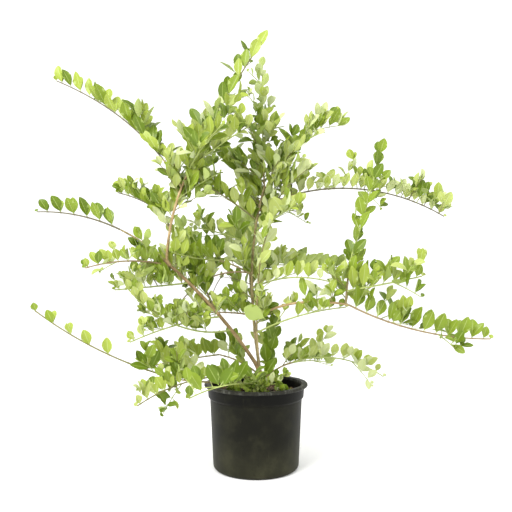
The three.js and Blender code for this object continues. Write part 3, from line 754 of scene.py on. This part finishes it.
# Shoots that the photograph shows singly: each row is as for a limb, then its wood, the gap between its
# nodes, the length of its leaves, its rind and the region it is joined to
SINGLE_SHOOTS = [
    ["upright_spray", "right_upper", 196, [170, 10], [84, 80], 104, "twig", 24, 46, "green", "right"],
    ["bare_twig", "centre_stem", 296, [196, 10], [12, -52], 240, "stem", 110, 44, "tan", "middle"],
    ["bare_twig_fork", "bare_twig", 85, [200, 20], [-46, -70], 74, "twig", 200, 24, "grey", "middle"],
    ["bare_twig_side", "bare_twig", 120, [160, 20], [-8, -34], 88, "twig", 200, 24, "grey", "middle"],
    ["bare_twig_end", "centre_stem", 262, [200, -20], [24, 6], 92, "twig", 200, 24, "grey", "middle"],
    ["thin_twig", "leader", 205, [-4, 10], [8, 14], 74, "twig", 200, 26, "grey", "top"],
    ["thin_twig_low", "leader", 140, [-20, 10], [6, 12], 50, "twig", 200, 26, "grey", "top"],
]
# The wood that shows from the front: these limbs, from and up to where on each. No spray leaves them
# towards the front, and no leaf hangs before them there, within the gap as it is seen from the camera
SHOWN_WOOD = {"left_bough": (60, 405), "left_riser": (20, 250), "centre_stem": (160, 490),
              "left_low_bough": (100, 240)}
MOST_FORWARD = -0.3
GAP_BEFORE_WOOD = 6 / 1800
WOOD_DEPTH = 5
CROWN_HEART = np.array([0, 0, 720])
HEART_REACH = 420
TINTS_DEALT = 3
# Each kind of draw has a run of forty numbers of its own
DRAW = {kind: 40 * place for place, kind in enumerate([
    "pair", "angle", "face_x", "face_y", "size", "twig_turn", "twig_size", "twig_swing", "axil",
    "axil_hand", "axil_size", "axil_swing", "tint", "bend", "curl", "lift",
])}
TWIG_LENGTH = 95
TWIG_LEAN = 0.75
TWIG_LIFT = 0.25
TWIG_DROOP = 12
TWIG_GAP = 27
SPUR_DROOP = 4
SPUR_GAP = 20
SPUR_LEAF = 0.82
SPUR_ON_TWIG = 0.5
SPRAY_DROOP = 14
SPRAY_SPURS = (0.45, 0.7, 44)
LEAF_ANGLE = 52
SPEAR_ANGLE = 32
LAST_NODE = 3
LEVEL_UNLEAN = 0.4
LEVEL_FLATTEN = 0.8
LIFE_SIZE = 1.32
LIP_RADIUS = LIP_MIDDLE[0] + LIP_ROLL
LIMB_SAMPLE_GAP = 4
LIMB_CLEARANCE = 2.5
POT_CLEARANCE = 6
SOIL_CLEARANCE = 2
FLOOR_CLEARANCE = 6
# A wood gives the radius at the root and the tip, and the rings and the sides of the skin
WOOD = {"stem": [2.6, 1.6, 72, 7], "twig": [1.5, 0.95, 20, 6], "spur": [0.95, 0.6, 9, 5]}


class Branch:
    """A leafy shoot: its middle line, its wood, the gap between its nodes, the length of its leaves, the
    seed of its draws, its rind, the angle at which leaves leave it, the share of it that is bare at its
    root, and its tone: how many tints paler its leaves are. Near the heart of the crown they are paler by
    up to one tint more: painted light that offsets the shade the crown casts on them there."""

    def __init__(self, line, wood, gap, leaf, seed, rind, angle=LEAF_ANGLE, bare=0, tone=0):
        self.line = line
        self.wood = wood
        self.gap = gap
        self.first = 0.65 * gap + bare * line.length
        self.leaf = leaf
        self.seed = seed
        self.rind = rind
        self.angle = angle
        self.tone = tone
        out = np.linalg.norm(line.points(0.5)[0] - CROWN_HEART)
        # Painted light: up to one tint paler near the crown's heart, standing in for the light that the
        # crown's own shade takes there
        self.tint = max(0, TINTS_DEALT * dice(seed, DRAW["tint"]) + max(0, 1 - out / HEART_REACH) + tone)


samples = [int(length / LIMB_SAMPLE_GAP) for *_, length, _ in LIMBS]
limb_points = np.concatenate([
    shoots[name].points(np.linspace(0, 1, count)) for (name, *_), count in zip(LIMBS, samples)
])
limb_girths = np.concatenate([np.linspace(*girth, count) for (*_, girth), count in zip(LIMBS, samples)])


def clear_of_pot(points):
    """Whether points keep clear of the wall of the pot, of the soil and of the floor."""
    out, height = np.hypot(points[:, 0], points[:, 1]), points[:, 2]
    by_pot = (out < LIP_RADIUS + POT_CLEARANCE) & (height < POT_HEIGHT + POT_CLEARANCE)
    in_wall = out > inner_radius(height) - POT_CLEARANCE
    in_soil = height < SOIL_MOUND_LEVEL + SOIL_CLEARANCE
    return ~(by_pot & (in_wall | in_soil)) & (height > FLOOR_CLEARANCE)


def clear_of_limbs(points):
    """Whether points keep clear of the skin of every limb."""
    gap = np.linalg.norm(points[:, None] - limb_points, axis=-1) - limb_girths
    return gap.min(axis=1) > LIMB_CLEARANCE


def sight(points):
    """Where points are seen from the camera: their place across and up, as shares of their distance."""
    from_eye = points - 1000 * np.array(CAMERA_PLACE)
    return from_eye[:, [0, 2]] / from_eye[:, 1:2]


shown_points = np.concatenate([
    shoots[limb].points(np.linspace(start, end, 60) / shoots[limb].length)
    for limb, (start, end) in SHOWN_WOOD.items()
])


def clear_of_shown_wood(points):
    """Whether points don't hide the wood that shows."""
    gap = np.linalg.norm(sight(points)[:, None] - sight(shown_points), axis=-1)
    before = points[:, None, 1] < shown_points[:, 1] + WOOD_DEPTH
    return ~((gap < GAP_BEFORE_WOOD) & before).any(axis=1)


def ways(line, t, turn, lean, spread, lift, level_lift):
    """Ways that lean along a shoot and out from it: lean * along + spread * (side cos turn + up sin turn).
    Where the shoot is level the first and the last term shrink. The ways are then lifted to the light, more
    so where the shoot is level, and made of length 1."""
    along, side, up = line.frames(t)
    level = np.hypot(along[:, 0], along[:, 1])
    over = np.sin(turn) * (1 - LEVEL_FLATTEN * level)
    out = side * np.cos(turn)[:, None] + up * over[:, None]
    way = along * (lean * (1 - LEVEL_UNLEAN * level))[:, None] + out * np.reshape(spread, (-1, 1))
    way[:, 2] += lift + level_lift * level
    return unit(way)


def child(root, way, length, swing, droop):
    """A shoot that starts along a way and droops as it grows."""
    heading = np.degrees(np.arctan2(way[1], way[0]))
    climb = np.degrees(np.arcsin(way[2]))
    return Shoot(root, [heading, swing], [climb, climb - droop], length)


def side_shoots(line, t, way, length, swing, droop, wood, gap, leaf, seed, rinds, tone=0):
    """Branches of one wood that leave a line at shares t of it. Each has its own way, length, swing and
    seed, and the rinds take turns."""
    roots = line.points(t)
    return [
        Branch(child(roots[i], way[i], length[i], swing[i], droop), wood, gap, leaf, seed + i,
               rinds[(seed + i) % len(rinds)], tone=tone)
        for i in range(len(t))
    ]


def side_twigs(stem, count):
    """The side twigs of a mass: they leave its stem in turn all round it, lean along it and lift."""
    line, seed = stem.line, stem.seed
    index = np.arange(count)
    t = (index + 0.6) / (count + 0.5)
    turn = np.pi * (index + 0.5 * dice(seed, DRAW["twig_turn"] + index))
    along, side, up = line.frames(t)
    way = TWIG_LEAN * along + side * np.cos(turn)[:, None] + 0.8 * up * np.sin(turn)[:, None]
    way[:, 2] += TWIG_LIFT
    length = TWIG_LENGTH * (0.7 + 0.6 * dice(seed, DRAW["twig_size"] + index)) * (1 - 0.35 * t)
    swing = 20 * dice(seed, DRAW["twig_swing"] + index) - 10
    return side_shoots(line, t, unit(way), length, swing, TWIG_DROOP, "twig", TWIG_GAP, 0.95 * stem.leaf,
                       seed * 50, ["green"], stem.tone)


def out_of_pot(branches):
    """The branches that don't grow into the pot."""
    return [branch for branch in branches if clear_of_pot(branch.line.points([0.5, 1])).all()]


def spurs(carrier, share, until, reach):
    """The spurs of a stem or twig: leafy shoots from the axils of some of its leaves, longest near its
    root."""
    line, seed = carrier.line, carrier.seed
    index = np.arange(int(max(0, line.length * until - carrier.first) / carrier.gap) + 1)
    index = index[dice(seed, DRAW["axil"] + index) < share]
    t = (carrier.first + carrier.gap * index) / line.length
    hand = np.where(dice(seed, DRAW["axil_hand"] + index) < 0.5, 0, np.pi)
    turn = np.pi * (index / 2 + 0.35 * dice(seed, DRAW["pair"] + index)) + hand
    light = 0.2 + 1.2 * dice(seed, DRAW["lift"] + index)
    way = ways(line, t, turn, 0.6, 0.8, 0.35 * light, 0.55 * light)
    length = reach * (0.5 + 0.8 * dice(seed, DRAW["axil_size"] + index)) * (1 - 0.45 * t)
    swing = 60 * dice(seed, DRAW["axil_swing"] + index) - 30
    return out_of_pot(side_shoots(line, t, way, length, swing, SPUR_DROOP, "spur", SPUR_GAP,
                                  SPUR_LEAF * carrier.leaf, seed * 37 + 9000, ["young"], carrier.tone))


def limb_sprays(limb, start, end, gap, reach, leaf, seed):
    """The leafy sprays of a limb: twigs from its nodes, turned a good quarter from one to the next."""
    line = shoots[limb]
    index = np.arange(int((end - start) / gap) + 1)
    t = (start + index * gap) / line.length
    turn = 1.75 * index + 0.8 * dice(seed, DRAW["twig_turn"] + index)
    way = ways(line, t, turn, 0.5, 0.9, 0.2, 0.6)
    length = reach * (0.55 + 0.75 * dice(seed, DRAW["twig_size"] + index))
    swing = 50 * dice(seed, DRAW["twig_swing"] + index) - 25
    sprays = side_shoots(line, t, way, length, swing, SPRAY_DROOP, "twig", TWIG_GAP, leaf * LIFE_SIZE,
                         seed * 41, ["olive", "green"])
    if limb in SHOWN_WOOD:
        sprays = [spray for spray, (_, back, _) in zip(sprays, way) if back > MOST_FORWARD]
    return out_of_pot(sprays)


def mass_branches(name, leaf, twigs, habit, rind, seed):
    """Every branch of a mass: its stem, the side twigs, and the spurs on both."""
    gap, share, until, reach, bare, tone = HABITS[habit]
    angle = SPEAR_ANGLE if habit == "spear" else LEAF_ANGLE
    stem = Branch(shoots[name], "stem", gap, leaf * LIFE_SIZE, seed, rind, angle, bare, tone)
    side = side_twigs(stem, twigs)
    short = spurs(stem, share, until, reach)
    for twig in side:
        short += spurs(twig, SPUR_ON_TWIG * share, 0.8, 0.6 * reach)
    return [stem, *side, *short]


def rods(branches, wood):
    """The closed round skins of the branches of one wood: the middle line plus the radius round it. The
    radius tapers evenly and swells at each node by a bell curve."""
    branches = [branch for branch in branches if branch.wood == wood]
    base, tip, rings, sides = WOOD[wood]
    t = np.linspace(0, 1, rings)
    middle = np.stack([branch.line.points(t) for branch in branches])
    frames = [branch.line.frames(t) for branch in branches]
    side = np.stack([frame[1] for frame in frames])[:, :, None]
    up = np.stack([frame[2] for frame in frames])[:, :, None]
    distance = t * np.array([branch.line.length for branch in branches])[:, None]
    first = np.array([branch.first for branch in branches])[:, None]
    gap = np.array([branch.gap for branch in branches])[:, None]
    from_node = (distance - first + gap / 2) % gap - gap / 2
    radius = base + (tip - base) * t + 0.3 * base * np.exp(-(from_node / 2.2) ** 2)
    angle = (np.arange(sides) * 2 * np.pi / sides)[:, None]
    points = middle[:, :, None] + radius[..., None, None] * (side * np.cos(angle) + up * np.sin(angle))
    points = np.concatenate([points.reshape(len(branches), -1, 3), middle[:, [0, -1]]], axis=1)
    quads, fans = tube_faces(len(branches), rings, sides)
    rind = np.array([list(RINDS).index(branch.rind) for branch in branches])
    return Skin(points.reshape(-1, 3), quads, fans, np.repeat(rind, len(quads) // len(branches)),
                np.repeat(rind, len(fans) // len(branches)))


def rind_finish(name, base):
    """Young rind: one plain colour with a satin skin."""
    finish = Finish(name)
    surface = finish.node("ShaderNodeBsdfPrincipled", {}, {"Base Color": base, "Roughness": 0.5})
    return finish.worn(surface)


RINDS = {
    "grey": colour(96, 90, 64),
    "tan": colour(138, 118, 82),
    "olive": colour(116, 112, 62),
    "green": colour(146, 158, 84),
    "young": colour(176, 190, 112),
}
RIND_FINISHES = [rind_finish(name + "_rind", base) for name, base in RINDS.items()]
grown(MASSES, shoots)
grown(SINGLE_SHOOTS, shoots)


# Leaves: thin satin blades in opposite pairs on short stalks, oval and widest past the middle, folded a
# little along a paler midrib and curled. Young ones are small and yellow-green, and the underside is
# paler. They lift from the shoot to the light, most of all on a level shoot.
LEAF_WIDTH = 0.53
MIDDLING_LEAF = 48
BLADE_SKEW = 1.1
TIP_ROUNDING = 0.7
BASE_WEDGE = 0.22
LEAF_ANGLE_RANGE = 24
LEAF_LIFT = 0.45
LEVEL_LIFT = 0.75
STALK = 0.09
STALK_HALF_WIDTH = 0.6
BLADE_THICKNESS = 0.42
RIB_THICKNESS = 0.95
RIB_SHARE = 0.06
# A leaf's rings, as shares of its length, and the points round each: six over the face, two under the rib
LEAF_ROWS = np.array([0.004, 0.06, 0.13, 0.24, 0.4, 0.58, 0.76, 0.91, 0.985])
LEAF_COLUMNS = np.array([1, 0.55, RIB_SHARE, -RIB_SHARE, -0.55, -1, -RIB_SHARE, RIB_SHARE])
UNDERSIDE = np.array([0, 0, 0, 0, 0, 0, 1, 1])
OVER_FACES = [0, 1, 3, 4]
RUFFLE = 0.02
LEAF_SPACING = 0.16
BACK_BEGINS = 150


def facing(face, way):
    """The faces turned square to the ways: face less its share along way, made of length 1."""
    return unit(face - way * np.sum(face * way, axis=-1, keepdims=True))


def leaf_pairs(branch):
    """The opposite pairs of leaves on a branch: each pair is turned a quarter from the last, leans along
    the branch and lifts, evenly on a stem and by a draw of its own elsewhere. Blades face forwards, or
    backwards at the back of the crown, and up. They grow shorter towards the tip, where the last pair is
    half closed round a pair of buds."""
    line, seed = branch.line, branch.seed
    count = max(1, int((line.length - branch.first) / branch.gap))
    pair, hand = np.repeat(np.arange(count + 2), 2), np.tile([1, -1], count + 2)
    draw = pair * 2 + hand
    last, bud = pair == count, pair > count
    t = np.minimum(line.length - LAST_NODE, branch.first + pair * branch.gap) / line.length
    t = np.where(bud, 1, t)
    turn = np.pi * (pair / 2 + 0.35 * dice(seed, DRAW["pair"] + pair)) + np.where(hand < 0, np.pi, 0)
    angle = branch.angle + LEAF_ANGLE_RANGE * (dice(seed, DRAW["angle"] + draw) - 0.5)
    angle = np.radians(angle * np.where(bud, 0.3, np.where(last, 0.6, 1)))
    if branch.wood == "stem":
        light, loose, tint_range = 1, 0.5, 2
    else:
        light, loose, tint_range = 1.5 * dice(seed, DRAW["lift"] + draw) - 0.1, 1, 3.4
    way = ways(line, t, turn, np.cos(angle), np.sin(angle), LEAF_LIFT * light, LEVEL_LIFT * light)
    root = line.points(t)
    outward = np.where(root[:, 1] < BACK_BEGINS, -1, 1)
    face = np.stack([
        1.5 * loose * (dice(seed, DRAW["face_x"] + draw) - 0.5),
        outward * (1 - 0.95 * loose * dice(seed, DRAW["face_y"] + draw)),
        np.full(len(draw), 0.6),
    ], axis=-1)
    length = branch.leaf * (0.78 + 0.38 * dice(seed, DRAW["size"] + draw)) * (1 - 0.25 * t ** 4)
    length = length * np.where(bud, 0.3, np.where(last, 0.85, 1))
    bend = dice(seed, DRAW["bend"] + draw)
    lighter = tint_range * (dice(seed, DRAW["tint"] + 1 + draw) - 0.38)
    return {
        "root": root,
        "way": way,
        "face": facing(face, way),
        "length": length,
        "width": LEAF_WIDTH * MIDDLING_LEAF * (length / MIDDLING_LEAF) ** 0.5 * (0.88 + 0.22 * bend),
        "fold": np.radians(8 + 22 * bend),
        "curl": 0.25 - 0.9 * dice(seed, DRAW["curl"] + draw),
        "tint": np.clip(branch.tint + lighter, 0, len(LEAF_TINTS) - 1).astype(int),
    }


def leaves_of(branches):
    """The leaves of many branches, each kind of value in one array."""
    pairs = [leaf_pairs(branch) for branch in branches]
    return {key: np.concatenate([pair[key] for pair in pairs]) for key in pairs[0]}


def thinned(leaves):
    """The leaves that keep clear of the pot, the limbs and the sight of the shown wood at four spots, near
    the stalk, at both edges and at the tip, and that don't lie in one that was placed before."""
    across = np.cross(leaves["face"], leaves["way"])
    keep = np.ones(len(leaves["length"]), dtype=bool)
    for share, hand in [(0.35, 0), (0.6, 1), (0.6, -1), (1, 0)]:
        spot = leaves["root"] + leaves["way"] * (share * leaves["length"])[:, None]
        spot = spot + across * (hand * 0.4 * leaves["width"])[:, None]
        keep &= clear_of_pot(spot) & clear_of_limbs(spot) & clear_of_shown_wood(spot)
    middle = leaves["root"] + leaves["way"] * (0.55 * leaves["length"])[:, None]
    gap = np.linalg.norm(middle[:, None] - middle, axis=-1)
    near = gap < LEAF_SPACING * (leaves["length"][:, None] + leaves["length"])
    keep &= ~np.tril(near, -1).any(axis=1)
    return {key: values[keep] for key, values in leaves.items()}


def half_width(u):
    """A leaf's half width at the share u of its length, as a share of its full width: half a sine whose
    middle is moved towards the tip, raised to a power that rounds the tip and draws in the base."""
    blade = np.clip((u - STALK) / (1 - STALK), 0, 1)
    return 0.5 * np.sin(np.pi * blade ** BLADE_SKEW) ** (TIP_ROUNDING + BASE_WEDGE * (1 - blade))


def leaf_skin(leaves):
    """The closed thin blades of many leaves. A leaf is a flattened tube: its middle line bends evenly by
    its curl, each ring has six points over the face and two under the rib, the two halves rise from the
    rib by the fold, and the edges ruffle. Where the half width is less than the stalk's, it is the stalk."""
    count = len(leaves["length"])
    u, v = LEAF_ROWS[None, :, None, None], LEAF_COLUMNS[None, None, :, None]
    length, width, fold, curl = (
        leaves[key].reshape(-1, 1, 1, 1) for key in ("length", "width", "fold", "curl"))
    way, face = leaves["way"][:, None, None], leaves["face"][:, None, None]
    across = np.cross(face, way)
    out = v * np.maximum(width * half_width(u), STALK_HALF_WIDTH)
    on_blade = np.clip((u - STALK) / 0.1, 0, 1)
    ruffle = RUFFLE * length * v ** 2 * np.sin(9 * u + 40 * curl) * np.sin(np.pi * u)
    lift = on_blade * (np.abs(out) * np.sin(fold) + ruffle) - UNDERSIDE[None, None, :, None] * RIB_THICKNESS
    lift = lift - (np.abs(v) == 1) * 0.5 * BLADE_THICKNESS
    bend = curl * u
    middle = leaves["root"][:, None, None] + length * (
        way * np.sin(bend) / curl + face * (1 - np.cos(bend)) / curl)
    upward = face * np.cos(bend) - way * np.sin(bend)
    rings = middle + across * out + upward * lift
    reach = leaves["length"] / leaves["curl"]
    tip = leaves["root"] + (reach * np.sin(leaves["curl"]))[:, None] * leaves["way"] + (
        reach * (1 - np.cos(leaves["curl"])))[:, None] * leaves["face"]
    points = np.concatenate([rings.reshape(count, -1, 3), leaves["root"][:, None], tip[:, None]], axis=1)
    rows, columns = len(LEAF_ROWS), len(LEAF_COLUMNS)
    quads, fans = tube_faces(count, rows, columns)
    over, under = leaves["tint"] * 2, leaves["tint"] * 2 + 1
    wear = np.repeat(under, (rows - 1) * columns).reshape(count, rows - 1, columns)
    wear[:, 2:, OVER_FACES] = over[:, None, None]
    ends = np.repeat(under, 2 * columns).reshape(count, 2, columns)
    ends[:, 1, OVER_FACES] = over[:, None]
    return Skin(points.reshape(-1, 3), quads, fans, wear.ravel(), ends.ravel())


def leaf_finish(name, base, through, share):
    """A leaf's skin: satin over a body that lets part of the light through in its own colour."""
    finish = Finish(name)
    skin = finish.node("ShaderNodeBsdfPrincipled", {}, {
        "Base Color": base,
        "Roughness": 0.38,
        "Specular IOR Level": 0.32,
    })
    body = finish.node("ShaderNodeBsdfTranslucent", {}, {"Color": through})
    return finish.worn(finish.node("ShaderNodeMixShader", {}, {0: share, 1: skin, 2: body}))


# From the darkest shade leaves to the youngest, each with its own underside
LEAF_TINTS = [
    (colour(98, 121, 26), colour(150, 168, 86)),
    (colour(131, 152, 45), colour(166, 183, 100)),
    (colour(159, 175, 69), colour(182, 197, 118)),
    (colour(180, 191, 106), colour(194, 206, 144)),
    (colour(200, 208, 150), colour(208, 217, 168)),
]
THROUGH = colour(188, 203, 106)
THROUGH_SHARE = 0.24
LEAF_FINISHES = [
    leaf_finish(f"leaf_{side}_{number}", tint, THROUGH, THROUGH_SHARE)
    for number, tints in enumerate(LEAF_TINTS) for side, tint in zip(["face", "back"], tints)
]

seeds = {row[0]: number + 1 for number, row in enumerate(MASSES)}
for region, names in REGIONS.items():
    branches = []
    for name, *_, leaf, twigs, habit, rind in MASSES:
        if name in names:
            branches += mass_branches(name, leaf, twigs, habit, rind, seeds[name])
    for number, (*spray, home) in enumerate(LIMB_SPRAYS):
        if home == region:
            sprays = limb_sprays(*spray, 300 + number)
            branches += sprays
            for twig in sprays:
                branches += spurs(twig, *SPRAY_SPURS)
    for number, (name, *_, wood, gap, leaf, rind, home) in enumerate(SINGLE_SHOOTS):
        if home == region:
            branches.append(Branch(shoots[name], wood, gap, leaf, 700 + number, rind))
    add_piece(region + "_twigs", joined([rods(branches, wood) for wood in WOOD]), RIND_FINISHES,
              names, crease=70)
    add_piece(region + "_leaves", leaf_skin(thinned(leaves_of(branches))), LEAF_FINISHES, names,
              crease=70)

# The near leaf: one large pale leaf on a short spur of the second stem, broadside to the front
near_spur = child(shoots["second_stem"].points(0.56)[0], np.array([0.62, -0.66, 0.42]), 40, 0, 10)
near_way = unit(np.array([[-0.88, -0.1, 0.46]]))
near_leaf = {
    "root": near_spur.points(1),
    "way": near_way,
    "face": facing(np.array([[0, 1, -0.1]]), near_way),
    "length": np.array([72.0]),
    "width": np.array([46.0]),
    "fold": np.radians([8.0]),
    "curl": np.array([-0.3]),
    "tint": np.array([1]),
}
add_piece("near_leaf", leaf_skin(near_leaf), LEAF_FINISHES, crease=70)
add_piece("near_spur", rods([Branch(near_spur, "spur", 30, 40, 1, "young")], "spur"), RIND_FINISHES,
          crease=70)


# Sprigs: seedlings and suckers that have come up through the potting mix, mostly at its left and front,
# with small leaves of the same build, and a dry pale stub beside the trunk.
SPRIGS = 34
SPRIG_REACH = 112
SPRIG_GAP = 12
SPRIG_LEAF = 17
STUB = {"root": FOOT + [7, -9, -1], "heading": [12, 0], "climb": [48, 40], "length": 58}


def sprigs(count, seed):
    """Sprigs at random places on the soil, leaning at random and mostly upright."""
    rng = np.random.default_rng(seed)
    bearing = rng.uniform(0.6 * np.pi, 1.75 * np.pi, count)
    out = SPRIG_REACH * np.sqrt(rng.uniform(0.02, 1, count))
    x, y = FOOT[0] + out * np.cos(bearing), 0.85 * out * np.sin(bearing)
    inside = np.hypot(x, y) < SPRIG_REACH
    x, y = x[inside], y[inside]
    size = rng.uniform(26, 62, len(x))
    turned_to = rng.uniform(0, 360, len(x))
    climb = rng.uniform(48, 88, len(x))
    return [
        Branch(Shoot([x[i], y[i], soil_level(x[i], y[i]) - 1], [turned_to[i], 30], [climb[i], climb[i] - 25],
                     size[i]), "spur", SPRIG_GAP, SPRIG_LEAF * rng.uniform(0.75, 1.35), 5000 + i, "green")
        for i in range(len(x))
    ]


seedlings = sprigs(SPRIGS, 21)
add_piece("sprig_stems", rods(seedlings, "spur"), RIND_FINISHES, crease=70)
add_piece("sprig_leaves", leaf_skin(leaves_of(seedlings)), LEAF_FINISHES, crease=70)
stub = Branch(Shoot(**STUB), "stem", 25, 30, 3, "tan")
dry_wood = rind_finish("dry_wood", colour(206, 190, 132))
add_piece("dry_stub", rods([stub], "stem"), [dry_wood] * len(RINDS), crease=70)


# Floor and light: a white floor under a white sky of even light, with one soft lamp high at the left and
# a weaker one at the right.
FLOOR_HALF = 30
SKY_STRENGTH = 1.3
# A lamp's name, its place, its width and its power
LAMPS = [
    ["key", (-1.9, -2.2, 3.0), 2.0, 155],
    ["fill", (2.4, -1.2, 1.8), 2.0, 25],
]
LAMPS_AIM = np.array([0, 0, 0.6])
floor_finish = Finish("floor")
floor_mesh = bpy.data.meshes.new("floor")
corners = [(-1, -1), (1, -1), (1, 1), (-1, 1)]
floor_mesh.from_pydata([(x * FLOOR_HALF, y * FLOOR_HALF, 0) for x, y in corners], [], [(0, 1, 2, 3)])
floor_mesh.materials.append(floor_finish.worn(floor_finish.node(
    "ShaderNodeBsdfPrincipled", {}, {"Base Color": colour(246, 246, 245), "Roughness": 0.9})))
floor = bpy.data.objects.new("floor", floor_mesh)
bpy.context.scene.collection.objects.link(floor)
for name, spot, width, power in LAMPS:
    light = bpy.data.lights.new(name, "AREA")
    light.size = width
    light.energy = power
    lamp = bpy.data.objects.new(name, light)
    lamp.location = spot
    aim = LAMPS_AIM - spot
    tilt = np.arccos(-aim[2] / np.linalg.norm(aim))
    lamp.rotation_euler = (tilt, 0, np.arctan2(aim[1], aim[0]) - np.pi / 2)
    bpy.context.scene.collection.objects.link(lamp)
world = bpy.data.worlds.new("white_sky")
world.use_nodes = True
world.node_tree.nodes["Background"].inputs["Color"].default_value = (1, 1, 1, 1)
world.node_tree.nodes["Background"].inputs["Strength"].default_value = SKY_STRENGTH
bpy.context.scene.world = world
bpy.context.scene.view_settings.view_transform = "Standard"
